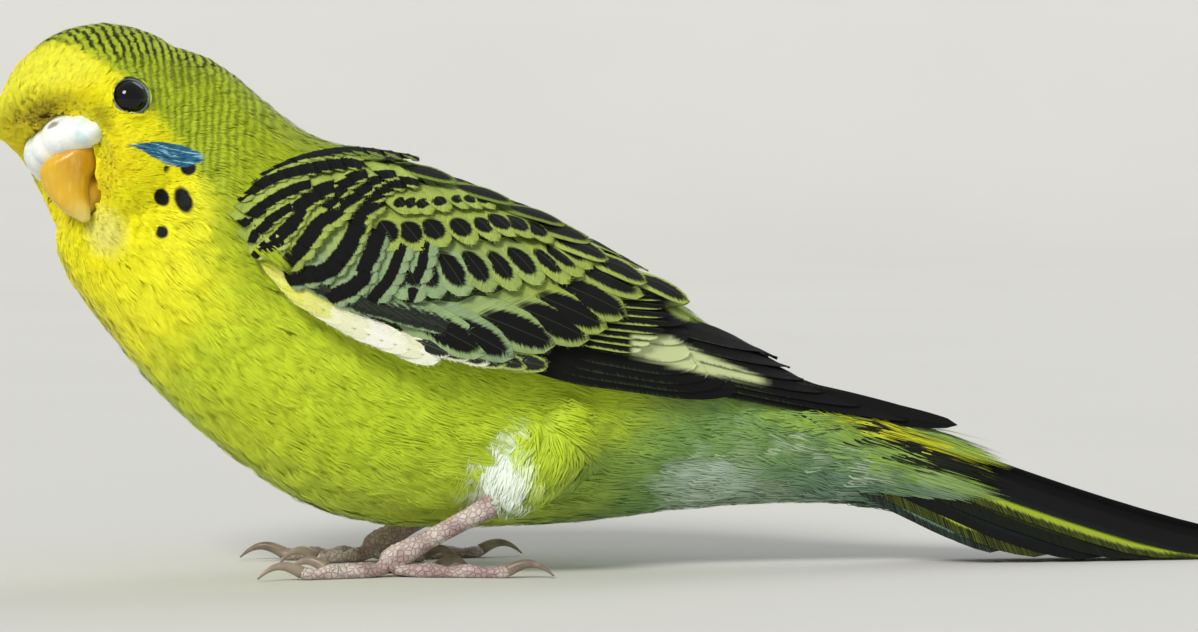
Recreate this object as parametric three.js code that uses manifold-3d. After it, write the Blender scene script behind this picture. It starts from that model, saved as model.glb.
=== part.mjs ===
// A life-size light green budgerigar standing on a flat floor, as a still model, in millimetres.
// +Z is up. The bird faces -X, its tail runs to +X, and its left side, which is turned to the
// viewer, is at -Y. The finished group stands with the middle of its box over the origin.
// The flesh is one lofted body, parted by thin cuts into head, neck, torso and rump. The wings
// and the tail are shingled from vanes, each one a thin cambered plate with its root sunk in
// the core of its wing or tail.

import * as THREE from "three";
import { mergeVertices } from "three/addons/utils/BufferGeometryUtils.js";
import Module from "manifold-3d";

const wasm = await Module();
wasm.setup();

// Sizes that drive the rest, in millimetres.
const GAP = 0.3; // between any two pieces that touch
const VANE_THICKNESS = 0.55;
const HEAD_CENTRE = [-65.6, -1.5, 60.3];
const HEAD_RADII = [16.0, 12.9, 14.8]; // forward, sideways, up
const FACE_DEPTH = 7; // how far the face is drawn in at the base of the bill
const FACE_ASIDE = 0.64; // radians, half width of the part drawn in
const FACE_ABOVE = 0.62; // radians, its height over the bill
const FACE_BELOW = 0.55; // radians, its height under the bill
const FACE_TURN = 0.44; // radians, how far its middle lies below straight ahead
const CHEEK_ASIDE = 0.62; // sideways part of the ray to the middle of a cheek
const CHEEK_SPREAD = 0.5;
const EYE_PROUD = 0.15; // how far the eyeball stands out of its opening
const LID = { rise: 0.1, margin: 0.4, tube: 0.5 }; // over the skull, past the opening, half thick
const BELLY_SLIMMING = 0.09; // the body is narrower towards its keel
const HEAD_YAW = 31; // degrees, towards the bird's left
const HEAD_PITCH = 7; // degrees, bill down
const HEAD_ROLL = 24; // degrees, left side up
const CHEEK = 3.6; // how far the cheeks and the ruff of the throat swell
const EYE_RAY = [0.26, 1, -0.02]; // from the head's centre: forward, sideways, up
const EYE_RADIUS = 2.6;
const EYE_OPENING = 2.2; // radius of the ring of the lids
const FOOT_SPREAD = 12; // from the middle plane to each foot
const KNUCKLE = [-28.4, 1.45, 1.9]; // x, height and radius of the pad the toes start from
const ANKLE = [-15.0, 9.2]; // x and height of the upper end of the bare shank
const TAIL_RIDGE = [[30, 22.6], [50.3, 16.2], [69, 9.8], [82.4, 5.8], [98, 2.5]]; // x, height
const TAIL_START = 45; // x where the coverts end on the tail

// The body from the back of the head to the tips of the tail coverts. Each row is one section:
// its point on the back and on the belly (x and height), its half width, and its sideways shift.
const BODY_SECTIONS = [
  { back: [-57.5, 71.7], belly: [-69.6, 52.6], half: 10.4, shift: -1.2 },
  { back: [-52.3, 70.5], belly: [-71.8, 49.0], half: 11.8, shift: -1.0 },
  { back: [-47.1, 67.1], belly: [-73.0, 45.1], half: 12.8, shift: -0.7 },
  { back: [-42.2, 62.8], belly: [-72.4, 41.2], half: 14.0, shift: -0.4 },
  { back: [-37.1, 59.3], belly: [-68.6, 36.0], half: 15.8, shift: -0.2 },
  { back: [-29.7, 57.5], belly: [-63.8, 29.7], half: 17.0, shift: 0 },
  { back: [-21.5, 55.2], belly: [-57.0, 22.0], half: 17.8, shift: 0 },
  { back: [-13.3, 51.7], belly: [-48.1, 14.4], half: 18.2, shift: 0 },
  { back: [-5.1, 48.2], belly: [-37.9, 8.1], half: 18.0, shift: 0 },
  { back: [3.0, 43.9], belly: [-26.3, 5.4], half: 17.0, shift: 0 },
  { back: [9.9, 40.3], belly: [-13.3, 5.3], half: 15.2, shift: 0 },
  { back: [16.0, 36.8], belly: [0.3, 5.8], half: 12.8, shift: 0 },
  { back: [21.4, 32.5], belly: [11.2, 7.2], half: 10.4, shift: 0 },
  { back: [28.1, 27.9], belly: [22.1, 8.1], half: 8.3, shift: 0 },
  { back: [35.8, 24.2], belly: [34.4, 8.1], half: 6.9, shift: 0 },
  { back: [44.6, 20.4], belly: [46.0, 7.8], half: 4.9, shift: 0 },
  { back: [51.4, 17.4], belly: [54.2, 7.3], half: 2.9, shift: 0 },
];
const BODY_RINGS = 26;
const BODY_SIDES = 20;
const BODY_CUTS = { neck: 0.155, torso: 0.27, rump: 0.735 }; // share of the way along the body

// The folded wing as seen from the side: x, height of its upper and lower edge, and how far
// each edge lies from the bird's middle plane.
const WING_SECTIONS = [
  { x: -47.6, top: 50.6, low: 48.0, inner: 13.4, outer: 17.4 },
  { x: -45.2, top: 53.3, low: 43.2, inner: 12.4, outer: 19.2 },
  { x: -40.1, top: 56.0, low: 37.4, inner: 11.2, outer: 21.2 },
  { x: -33.6, top: 57.1, low: 33.8, inner: 10.0, outer: 21.8 },
  { x: -24.3, top: 55.6, low: 30.1, inner: 7.8, outer: 22.6 },
  { x: -14.3, top: 52.0, low: 28.8, inner: 6.0, outer: 22.4 },
  { x: -4.2, top: 47.7, low: 28.2, inner: 4.8, outer: 20.4 },
  { x: 5.7, top: 42.3, low: 26.9, inner: 3.9, outer: 17.2 },
  { x: 15.9, top: 36.9, low: 25.2, inner: 3.1, outer: 13.2 },
  { x: 26.8, top: 30.1, low: 23.6, inner: 2.4, outer: 9.0 },
  { x: 38.6, top: 24.2, low: 21.5, inner: 1.9, outer: 5.6 },
  { x: 50.4, top: 19.6, low: 19.2, inner: 1.6, outer: 3.2 },
];
const CORE_END = 24; // x where the solid core of the wing has thinned out
const CORE_DEPTH = 2.8; // how far the core lies under the wing's surface
const CORE_RISE = 0.3; // share of that depth left along the upper and front edge
const ROOT_DEPTH = 0.8; // how far a vane's root is sunk into the core

// Half width of a long vane and of a covert at a share of its length, as a share of its
// greatest half width.
const VANE_SHAPE = [
  [0, 0.4],
  [0.4, 0.9],
  [0.75, 1],
  [1, 0],
];
const COVERT_SHAPE = [
  [0, 0.5],
  [0.45, 1],
  [1, 0],
];

// Rows of wing feathers, lowest layer first, with the height of each row over the surface of
// the wing. Roots and tips run through the first, the middle and the last feather's place,
// each given as x and share of the way down from the wing's upper edge.
const WING_TIERS = [
  {
    name: "primaries", count: 6, half: 2.2, point: 0.2, height: -2.4,
    roots: [[0, 0.9], [2.5, 0.76], [4, 0.52]], tips: [[51.2, 0.8], [41.2, 0.7], [25.5, 0.34]],
  },
  {
    name: "secondaries", count: 5, half: 2.5, point: 0.5, height: -1.65,
    roots: [[-18.5, 0.94], [-12.5, 0.78], [-6, 0.54]],
    tips: [[20.4, 0.95], [14.4, 0.74], [12.4, 0.44]],
  },
  {
    name: "greater_coverts", count: 7, half: 2.3, point: 0.55, height: -0.95,
    roots: [[-36.7, 0.94], [-27.7, 0.68], [-16.1, 0.44]],
    tips: [[-23.4, 1], [-1, 0.83], [5.9, 0.36]],
  },
  {
    name: "median_coverts", count: 8, half: 1.9, point: 0.55, height: -0.3, shape: COVERT_SHAPE,
    roots: [[-43.6, 0.86], [-31.8, 0.53], [-16.2, 0.29]],
    tips: [[-38.9, 0.97], [-20.7, 0.77], [-2.5, 0.44]],
  },
  {
    name: "lesser_coverts", count: 7, half: 1.9, point: 0.55, height: 0.3, shape: COVERT_SHAPE,
    roots: [[-44.6, 0.64], [-35.8, 0.34], [-20.7, 0.23]],
    tips: [[-42.4, 0.94], [-28.2, 0.65], [-8.5, 0.37]],
  },
  {
    name: "shoulder_coverts", count: 6, half: 2.3, point: 0.55, height: 0.8, shape: COVERT_SHAPE,
    roots: [[-45.6, 0.44], [-40.5, 0.17], [-28.5, 0.16]],
    tips: [[-46.2, 0.86], [-38.5, 0.56], [-22.3, 0.44]],
  },
  {
    name: "scapulars", count: 3, half: 2.3, point: 0.45, height: 1.0,
    roots: [[-45.6, 0.3], [-38, 0.12], [-21, 0.14]],
    tips: [[-35, 0.33], [-19.5, 0.24], [-0.5, 0.24]],
  },
];

// Tail feathers of one side, the long middle one first: how far along the tail its tip lies,
// its place out from the middle plane and down from the ridge, its slope like a slat of a
// roof, and its half width.
const TAIL_VANES = [
  { reach: 1.0, out: 1.3, down: 2.1, slope: 52, half: 2.9 },
  { reach: 0.87, out: 2.1, down: 4.0, slope: 58, half: 2.9 },
  { reach: 0.75, out: 2.8, down: 6.0, slope: 62, half: 2.7 },
  { reach: 0.63, out: 3.4, down: 8.0, slope: 65, half: 2.6 },
  { reach: 0.52, out: 3.9, down: 9.8, slope: 67, half: 2.4 },
  { reach: 0.42, out: 4.2, down: 11.4, slope: 68, half: 2.2 },
];

const COLOURS = {
  green: 0x8fb52a,
  yellow: 0xf2e02c,
  barred: 0x5b6a32,
  dark: 0x1a2226,
  cere: 0xd9e8e6,
  horn: 0xf0b428,
  eye: 0x0b0b0d,
  skin: 0xb9a9a6,
  claw: 0x7d6a5e,
};

const radians = THREE.MathUtils.degToRad;
const mix = (a, b, t) => a + (b - a) * t;

// A closed solid from corner points and triangles, turned so that its faces point out.
function solidFrom(points, faces) {
  let volume = 0;
  for (const [a, b, c] of faces) {
    volume += points[a].dot(new THREE.Vector3().crossVectors(points[b], points[c]));
  }
  const triVerts = new Uint32Array(
    faces.flatMap(([a, b, c]) => (volume < 0 ? [a, c, b] : [a, b, c])),
  );
  const vertProperties = new Float32Array(points.flatMap((p) => p.toArray()));
  const mesh = new wasm.Mesh({ numProp: 3, vertProperties, triVerts });
  return new wasm.Manifold(mesh);
}

// A closed solid from a closed geometry, placed by a matrix.
function solidOf(geometry, matrix = new THREE.Matrix4()) {
  const bare = geometry.clone().applyMatrix4(matrix);
  bare.deleteAttribute("normal");
  bare.deleteAttribute("uv");
  const merged = mergeVertices(bare, 1e-4);
  const place = merged.attributes.position;
  const points = Array.from({ length: place.count }, (_, i) =>
    new THREE.Vector3().fromBufferAttribute(place, i),
  );
  const faces = [];
  for (let i = 0; i < merged.index.count; i += 3) {
    const [a, b, c] = [0, 1, 2].map((k) => merged.index.getX(i + k));
    if (a !== b && b !== c && c !== a) faces.push([a, b, c]);
  }
  return solidFrom(points, faces);
}

// The largest closed surface of a solid, which drops scraps and fills sealed hollows.
function largest(solid) {
  const pieces = solid.decompose();
  return pieces.reduce((best, piece) => (piece.volume() > best.volume() ? piece : best));
}

function joined(solids) {
  return solids.reduce((whole, piece) => whole.add(piece));
}

// A solid through closed rings of points, with a fan over each end.
function loft(rings) {
  const sides = rings[0].length;
  const points = rings.flat();
  const faces = [];
  for (let i = 0; i + 1 < rings.length; i += 1) {
    for (let j = 0; j < sides; j += 1) {
      const [a, b] = [i * sides + j, i * sides + ((j + 1) % sides)];
      faces.push([a, b, b + sides], [a, b + sides, a + sides]);
    }
  }
  const last = (rings.length - 1) * sides;
  for (const [start, turned] of [[0, true], [last, false]]) {
    const ring = points.slice(start, start + sides);
    const middle = ring.reduce((sum, p) => sum.add(p), new THREE.Vector3());
    const hub = points.push(middle.divideScalar(sides)) - 1;
    for (let j = 0; j < sides; j += 1) {
      const [a, b] = [start + j, start + ((j + 1) % sides)];
      faces.push(turned ? [b, a, hub] : [a, b, hub]);
    }
  }
  return solidFrom(points, faces);
}

// A round, tapering bar through a list of points, with a radius at each of them.
function bar(places, radii, sides = 8, flat = 1) {
  const rings = places.map((place, i) => {
    const before = places[Math.max(i - 1, 0)];
    const after = places[Math.min(i + 1, places.length - 1)];
    const along = after.clone().sub(before).normalize();
    const across = new THREE.Vector3(0, 0, 1).cross(along).normalize();
    const up = along.clone().cross(across);
    return Array.from({ length: sides }, (_, k) => {
      const turn = ((k + 0.5) / sides) * Math.PI * 2;
      return place
        .clone()
        .addScaledVector(across, Math.cos(turn) * radii[i])
        .addScaledVector(up, Math.sin(turn) * radii[i] * flat);
    });
  });
  return loft(rings);
}

// A thin closed plate from rows of three points (one edge, middle, other edge), root first,
// with a direction of thickness for each row. Both faces are split into triangles alike.
function plate(rows, normals, thickness) {
  const points = [];
  const faces = [];
  for (const side of [1, -1]) {
    rows.forEach((row, i) => {
      for (const place of row) {
        points.push(place.clone().addScaledVector(normals[i], (side * thickness) / 2));
      }
    });
  }
  const half = rows.length * 3;
  const quad = (a, b, c, d) => faces.push([a, b, c], [a, c, d]);
  for (let i = 0; i + 1 < rows.length; i += 1) {
    const a = i * 3;
    for (const k of [0, 1]) {
      quad(a + k, a + k + 1, a + k + 4, a + k + 3);
      const [p, q, r, s] = [a + k, a + k + 1, a + k + 4, a + k + 3].map((n) => n + half);
      faces.push([p, r, q], [p, s, r]);
    }
    quad(a, a + 3, a + 3 + half, a + half);
    quad(a + 5, a + 2, a + 2 + half, a + 5 + half);
  }
  const end = (rows.length - 1) * 3;
  for (const k of [0, 1]) {
    quad(k + 1, k, k + half, k + 1 + half);
    quad(end + k, end + k + 1, end + k + 1 + half, end + k + half);
  }
  return solidFrom(points, faces);
}

// A curve through one value of the sections, read by share of the way along.
function through(sections, pick) {
  const places = sections.map((section) => new THREE.Vector3(...pick(section)));
  return new THREE.CatmullRomCurve3(places, false, "catmullrom", 0.5);
}

const backCurve = through(BODY_SECTIONS, (s) => [s.back[0], s.shift, s.back[1]]);
const bellyCurve = through(BODY_SECTIONS, (s) => [s.belly[0], s.shift, s.belly[1]]);
const widthCurve = through(BODY_SECTIONS, (s) => [s.half, 0, 0]);

// The middle, the half depth vector and the half width of the body at a share of its length.
function bodySection(share) {
  const back = backCurve.getPoint(share);
  const belly = bellyCurve.getPoint(share);
  return {
    middle: back.clone().add(belly).multiplyScalar(0.5),
    depth: back.clone().sub(belly).multiplyScalar(0.5),
    half: widthCurve.getPoint(share).x,
  };
}

// The whole body without head, wings and legs, grown all round by some millimetres.
function bodySolid(grow = 0) {
  const rings = [];
  for (let i = 0; i < BODY_RINGS; i += 1) {
    const share = i / (BODY_RINGS - 1);
    const { middle, depth, half } = bodySection(share);
    const tall = depth.length() + grow;
    const up = depth.clone().normalize();
    rings.push(
      Array.from({ length: BODY_SIDES }, (_, k) => {
        const turn = (k / BODY_SIDES) * Math.PI * 2;
        const wide = 1 + BELLY_SLIMMING * Math.min(Math.cos(turn), 0);
        return middle
          .clone()
          .addScaledVector(up, Math.cos(turn) * tall)
          .add(new THREE.Vector3(0, Math.sin(turn) * (half * wide + grow), 0));
      }),
    );
  }
  return loft(rings);
}

// The frame of the head: its axes are forward, to the bird's left, and up.
const headFrame = (() => {
  const turn = new THREE.Matrix4()
    .makeRotationZ(radians(HEAD_YAW))
    .multiply(new THREE.Matrix4().makeRotationY(radians(-HEAD_PITCH)))
    .multiply(new THREE.Matrix4().makeRotationX(radians(-HEAD_ROLL)));
  const facing = new THREE.Matrix4().makeBasis(
    new THREE.Vector3(-1, 0, 0),
    new THREE.Vector3(0, -1, 0),
    new THREE.Vector3(0, 0, 1),
  );
  return new THREE.Matrix4()
    .makeTranslation(...HEAD_CENTRE)
    .multiply(turn)
    .multiply(facing);
})();

const inHead = (forward, left, up) =>
  new THREE.Vector3(forward, left, up).applyMatrix4(headFrame);

// An ellipsoid in the head's frame.
function headBall(centre, radii, wide = 12, tall = 8, tilt = 0) {
  const matrix = headFrame
    .clone()
    .multiply(new THREE.Matrix4().makeTranslation(...centre))
    .multiply(new THREE.Matrix4().makeRotationY(radians(tilt)))
    .multiply(new THREE.Matrix4().makeScale(...radii));
  return solidOf(new THREE.SphereGeometry(1, wide, tall), matrix);
}

// How far the surface of the feathered head lies from its centre along a unit ray. The face is
// drawn in round the bill, the forehead stands over it, and the cheeks are full.
function skullReach(ray) {
  const [forward, left, up] = ray.toArray();
  const reach = 1 / Math.hypot(
    forward / HEAD_RADII[0],
    left / HEAD_RADII[1],
    up / HEAD_RADII[2],
  );
  const aside = Math.atan2(left, Math.hypot(forward, up)) / FACE_ASIDE;
  const height = Math.atan2(up, forward) + FACE_TURN;
  const above = height / (height > 0 ? FACE_ABOVE : FACE_BELOW);
  const drawn = FACE_DEPTH * Math.exp(-(aside ** 4) - above ** 4);
  const cheek = (Math.abs(left) - CHEEK_ASIDE) / CHEEK_SPREAD;
  const swell = Math.exp(-(cheek ** 2)) * Math.max(-up, 0);
  return reach - drawn + CHEEK * swell;
}

function skullSolid() {
  const geometry = new THREE.SphereGeometry(1, 22, 15);
  const place = geometry.attributes.position;
  for (let i = 0; i < place.count; i += 1) {
    const ray = new THREE.Vector3().fromBufferAttribute(place, i);
    ray.multiplyScalar(skullReach(ray));
    place.setXYZ(i, ray.x, ray.y, ray.z);
  }
  return solidOf(geometry, headFrame);
}

// Rounded forms on the face: how far forward, aside and up the middle lies, the three radii,
// the tilt in degrees, and how many facets go round and down.
const CERE_LOBE = { at: [9.4, 2.4, -0.8], radii: [2.7, 2.8, 2.9], tilt: 20, wide: 9, tall: 6 };
const CERE_FOOT = { at: [7.9, 0, -2.5], radii: [4.1, 5.2, 2.7], tilt: 8, wide: 9, tall: 5 };
const NOSTRIL = { at: [11.7, 2.6, 0.6], radii: [1.4, 0.65, 0.5], tilt: 0, wide: 8, tall: 6 };
const LOWER_BILL = { at: [6.4, 0, -8.8], radii: [2.7, 2.8, 2.9], tilt: 20, wide: 10, tall: 7 };

function faceForm(form, side, grow = 0) {
  const [forward, aside, up] = form.at;
  const radii = form.radii.map((radius) => radius + grow);
  return headBall([forward, side * aside, up], radii, form.wide, form.tall, form.tilt);
}

// The two lobes of the cere over the bill, grown by some millimetres.
function cereSolid(grow = 0) {
  const lobes = [-1, 1].map((side) => faceForm(CERE_LOBE, side, grow));
  return joined([...lobes, faceForm(CERE_FOOT, 1, grow)]);
}

// The hooked upper bill: forward and height of each section, and its half width and half depth.
const BILL_SECTIONS = [
  [6.6, -2.8, 3.6, 3.6],
  [8.0, -4.5, 4.2, 4.4],
  [8.8, -6.2, 3.8, 3.6],
  [9.4, -7.9, 3.1, 2.6],
  [9.6, -10.0, 2.0, 1.6],
  [9.1, -11.6, 1.0, 0.8],
  [8.7, -12.5, 0.35, 0.35],
];

const BILL_KEEL = 0.25; // the ridge along the front of the upper bill
const BILL_END = -12; // sections below this height are the bill's tip

function upperBillSolid(grow = 0) {
  const sides = 12;
  const rings = BILL_SECTIONS.map(([forward, up, half, deep]) =>
    Array.from({ length: sides }, (_, k) => {
      const turn = (k / sides) * Math.PI * 2;
      const keel = BILL_KEEL * Math.max(Math.cos(turn), 0) ** 6;
      return inHead(
        forward + (Math.cos(turn) + keel) * (deep + grow),
        Math.sin(turn) * (half + grow),
        up - (up < BILL_END ? grow : 0),
      );
    }),
  );
  return loft(rings);
}

const sideRay = (side) =>
  new THREE.Vector3(EYE_RAY[0], EYE_RAY[1] * side, EYE_RAY[2]).normalize();

// The middle of an eyeball, set so that its opening is flush with the side of the head.
function eyeCentre(side) {
  const ray = sideRay(side);
  const sunk = Math.sqrt(EYE_RADIUS ** 2 - EYE_OPENING ** 2) - EYE_PROUD;
  return ray.multiplyScalar(skullReach(ray) - sunk).toArray();
}

// The ring of the lids round one eye, lying on the side of the head.
function lidSolid(side) {
  const ray = sideRay(side);
  const place = ray.clone().multiplyScalar(skullReach(ray) + LID.rise);
  const turn = new THREE.Matrix4().lookAt(ray, new THREE.Vector3(), new THREE.Vector3(0, 0, 1));
  const matrix = headFrame
    .clone()
    .multiply(new THREE.Matrix4().makeTranslation(...place.toArray()))
    .multiply(turn);
  return solidOf(new THREE.TorusGeometry(EYE_OPENING + LID.margin, LID.tube, 5, 14), matrix);
}

// One point on the outside of a folded wing, and the direction out of it. side is -1 for the
// bird's left wing; across runs from 0 at the upper edge to 1 at the lower one.
const wingCurves = ["top", "low", "inner", "outer"].map((key) =>
  through(WING_SECTIONS, (s) => [s.x, s[key], 0]),
);

function readWing(curve, x) {
  let [low, high] = [0, 1];
  for (let i = 0; i < 24; i += 1) {
    const middle = (low + high) / 2;
    if (curve.getPoint(middle).x < x) low = middle;
    else high = middle;
  }
  return curve.getPoint(low).y;
}

function wingPoint(x, across, side) {
  const [top, low, inner, outer] = wingCurves.map((curve) => readWing(curve, x));
  const turn = across * (Math.PI / 2);
  return new THREE.Vector3(
    x,
    side * mix(inner, outer, Math.sin(turn)),
    mix(low, top, Math.cos(turn)),
  );
}

function wingNormal(x, across, side) {
  const step = 0.02;
  const along = wingPoint(x + 0.5, across, side).sub(wingPoint(x - 0.5, across, side));
  const down = wingPoint(x, across + step, side).sub(wingPoint(x, across - step, side));
  const out = along.cross(down).normalize();
  return out.y * side < 0 ? out.negate() : out;
}

// The core under the vanes of a wing: over which share of the way across and over how many
// millimetres from the front it comes up, where it starts, how thick it is and how it tapers,
// and between which shares of the way across it lies.
const CORE = { upper: 0.35, front: 10, start: 0.9, thick: 4.5, taper: 0.8, across: [0.02, 0.97] };

// How deep the core lies under the wing's surface. It comes up towards the upper and front
// edge, where the wing lies close on the body.
function coreDepth(x, across) {
  const inside = Math.min(across / CORE.upper, (x - WING_SECTIONS[0].x) / CORE.front);
  return CORE_DEPTH * mix(CORE_RISE, 1, THREE.MathUtils.clamp(inside, 0, 1));
}

// The core of a wing: a shell under the feathers that follows the flank of the body.
function wingCore(side) {
  const first = WING_SECTIONS[0].x + CORE.start;
  const count = 9;
  const steps = 7;
  const rings = [];
  for (let i = 0; i < count; i += 1) {
    const x = mix(first, CORE_END, i / (count - 1));
    const taper = 1 - CORE.taper * (i / (count - 1)) ** 2;
    const outside = [];
    const inside = [];
    for (let k = 0; k < steps; k += 1) {
      const across = mix(...CORE.across, k / (steps - 1));
      const place = wingPoint(x, across, side);
      const out = wingNormal(x, across, side);
      const depth = coreDepth(x, across);
      outside.push(place.clone().addScaledVector(out, -depth));
      inside.push(place.clone().addScaledVector(out, -depth - CORE.thick * taper));
    }
    rings.push([...outside, ...inside.reverse()]);
  }
  return loft(rings);
}

// How a vane on the wing is made: where on its length it has risen out of the core, how far one
// edge stands over the next vane, how much its middle stands up, and how blunt its tip is.
const WING_VANE = { risen: 0.4, shingle: 0.24, ridge: 0.1, blunt: 0.8, step: 0.02 };

// One vane on the wing, from its root to its tip, both given as x and share of the way across.
// It rises from inside the core at its root to the height of its row.
function wingVane(tier, root, tip, side) {
  const sunk = -coreDepth(...root) - ROOT_DEPTH;
  const rows = [];
  const normals = [];
  for (const [share, wide] of tier.shape ?? VANE_SHAPE) {
    const [x, across] = [mix(root[0], tip[0], share), mix(root[1], tip[1], share)];
    const middle = wingPoint(x, across, side);
    const ahead = wingPoint(
      x + (tip[0] - root[0]) * WING_VANE.step,
      across + (tip[1] - root[1]) * WING_VANE.step,
      side,
    );
    const out = wingNormal(x, Math.min(Math.max(across, 0.02), 0.98), side);
    const beside = ahead.sub(middle).cross(out).normalize();
    const half = tier.half * (share === 1 ? tier.point * WING_VANE.blunt : wide);
    const height = mix(sunk, tier.height, Math.min(share / WING_VANE.risen, 1));
    const shingle = WING_VANE.shingle * side;
    const ridge = WING_VANE.ridge * half;
    rows.push(
      [-1, 0, 1].map((edge) =>
        middle
          .clone()
          .addScaledVector(beside, edge * half)
          .addScaledVector(out, height + (edge === 0 ? ridge : 0) + edge * shingle),
      ),
    );
    normals.push(out);
  }
  return plate(rows, normals, VANE_THICKNESS);
}

// A place on the smooth curve through three places, for a share of the way along.
function along(places, share) {
  const weights = [
    2 * (share - 0.5) * (share - 1),
    4 * share * (1 - share),
    2 * share * (share - 0.5),
  ];
  return [0, 1].map((k) => weights.reduce((sum, weight, i) => sum + weight * places[i][k], 0));
}

function wingSolid(side) {
  const vanes = WING_TIERS.flatMap((tier) =>
    Array.from({ length: tier.count }, (_, i) => {
      const share = i / (tier.count - 1);
      return wingVane(tier, along(tier.roots, share), along(tier.tips, share), side);
    }),
  );
  return joined([wingCore(side), ...vanes]);
}

// The upper ridge of the tail, which falls steadily and eases on to the floor at its tip.
const ridgeCurve = through(TAIL_RIDGE, ([x, height]) => [x, 0, height]);

// The fan of the tail: its spread at the root and at the tip against that between them, where
// on the length it is fully open, how blunt a tip is, how much a shaft stands up, and how far
// the blades stay off the floor.
const FAN = { root: 0.62, tip: 0.7, open: 2.6, blunt: 0.2, ridge: 0.15, clear: 0.45 };

// One tail feather: a long blade that starts inside the rump and slopes down on its side like
// one slat of a roof. The fan is drawn together at the root and narrows to the tip.
function tailVane(spec, side) {
  const slope = radians(spec.slope);
  const beside = new THREE.Vector3(0, side * Math.cos(slope), -Math.sin(slope));
  const out = new THREE.Vector3(0, side * Math.sin(slope), Math.cos(slope));
  const rows = [];
  const normals = [];
  for (const [share, wide] of VANE_SHAPE) {
    const reach = share * spec.reach;
    const fan = mix(FAN.root, 1, Math.min(reach * FAN.open, 1));
    const middle = ridgeCurve.getPointAt(reach).add(
      new THREE.Vector3(0, side * spec.out * mix(fan, FAN.tip, reach), -spec.down * fan),
    );
    const half = spec.half * (share === 1 ? FAN.blunt : wide);
    middle.z = Math.max(middle.z, half * Math.sin(slope) + FAN.clear);
    rows.push(
      [-1, 0, 1].map((edge) =>
        middle
          .clone()
          .addScaledVector(beside, edge * half)
          .addScaledVector(out, edge === 0 ? FAN.ridge * half : 0),
      ),
    );
    normals.push(out);
  }
  return plate(rows, normals, VANE_THICKNESS);
}

// The thigh from inside the body to the ankle: x, share of the spread of the feet, height, radius.
const THIGH_STOPS = [
  [-4.0, 0.94, 23, 6.2],
  [-6.4, 0.98, 18.0, 6.8],
  [-9.8, 1.02, 13.4, 5.6],
  [-12.9, 1.02, 10.4, 3.8],
  [-14.6, 1, 9.2, 2.4],
];

// The feathered thigh that stands out of the belly over one shank.
function thighSolid(side, grow = 0) {
  const places = THIGH_STOPS.map(
    ([x, out, height]) => new THREE.Vector3(x, side * FOOT_SPREAD * out, height),
  );
  return bar(places, THIGH_STOPS.map(([, , , radius]) => radius + grow), 14);
}

// The shank from just inside the thigh to the pad: share of the way and radius. The pad's
// three radii are given against that of the knuckle.
const SHANK_STOPS = [
  [-0.08, 1.6],
  [0.3, 1.2],
  [0.65, 1.15],
  [1, 1.3],
];
const PAD_SHAPE = [1.15, 1, 0.9];

// The bare shank and the pad at its foot.
function shankSolid(side, grow = 0) {
  const y = side * FOOT_SPREAD;
  const from = new THREE.Vector3(ANKLE[0], y, ANKLE[1]);
  const to = new THREE.Vector3(KNUCKLE[0], y, KNUCKLE[1]);
  const places = SHANK_STOPS.map(([share]) => from.clone().lerp(to, share));
  const radii = SHANK_STOPS.map(([, radius]) => radius + grow);
  const knuckle = new THREE.Matrix4()
    .makeTranslation(...to.toArray())
    .multiply(new THREE.Matrix4().makeScale(...PAD_SHAPE.map((k) => k * KNUCKLE[2] + grow)));
  return bar(places, radii, 8).add(solidOf(new THREE.SphereGeometry(1, 10, 7), knuckle));
}

// The four toes of one foot, two forward and two back: compass direction from straight ahead,
// length of the fleshy toe, length of the claw, and thickness.
const TOES = [
  { name: "toe_front_outer", turn: 14, length: 12.5, claw: 6.2, radius: 1.05 },
  { name: "toe_front_inner", turn: -22, length: 9.0, claw: 5.4, radius: 0.95 },
  { name: "toe_back_outer", turn: 166, length: 16, claw: 6.2, radius: 1.0 },
  { name: "toe_back_inner", turn: -157, length: 7.5, claw: 5.0, radius: 0.9 },
];

// How a toe is made: its joints, how much they swell, its thickness at root and tip, its height
// over the floor against its radius, and how far and over which share of it the root is lifted.
const TOE_FORM = { joints: 3, swell: 0.14, thick: [1.05, 0.82], sole: 0.86, lift: 2, lifted: 0.25 };
// How a claw is made: where it is measured, its height at the root, its arch and how it falls,
// and its radius at root and tip.
const CLAW_STOPS = [0, 0.3, 0.6, 0.85, 1];
const CLAW_FORM = { base: 1.0, arch: 1.5, bend: 0.75, fall: 1.75, thick: [0.72, 0.2], taper: 1.3 };

// The way a toe points on the floor. Outer toes turn away from the middle plane.
function toeWay(toe, side) {
  const turn = radians(toe.turn);
  return new THREE.Vector3(-Math.cos(turn), side * Math.sin(turn), 0);
}

// One toe, with swollen joints and a flat sole, from just clear of the knuckle to the claw.
function toeSolid(toe, side) {
  const way = toeWay(toe, side);
  const knuckle = new THREE.Vector3(KNUCKLE[0], side * FOOT_SPREAD, 0);
  const places = [];
  const radii = [];
  const stops = TOE_FORM.joints * 2 + 1;
  for (let i = 0; i < stops; i += 1) {
    const share = i / (stops - 1);
    const swell = 1 + TOE_FORM.swell * Math.cos(share * TOE_FORM.joints * Math.PI * 2);
    const radius = toe.radius * mix(...TOE_FORM.thick, share) * swell;
    const lift = TOE_FORM.lift * Math.max(0, TOE_FORM.lifted - share);
    places.push(
      knuckle
        .clone()
        .addScaledVector(way, share * toe.length)
        .setZ(radius * TOE_FORM.sole + lift),
    );
    radii.push(radius);
  }
  return bar(places, radii, 6);
}

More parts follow.
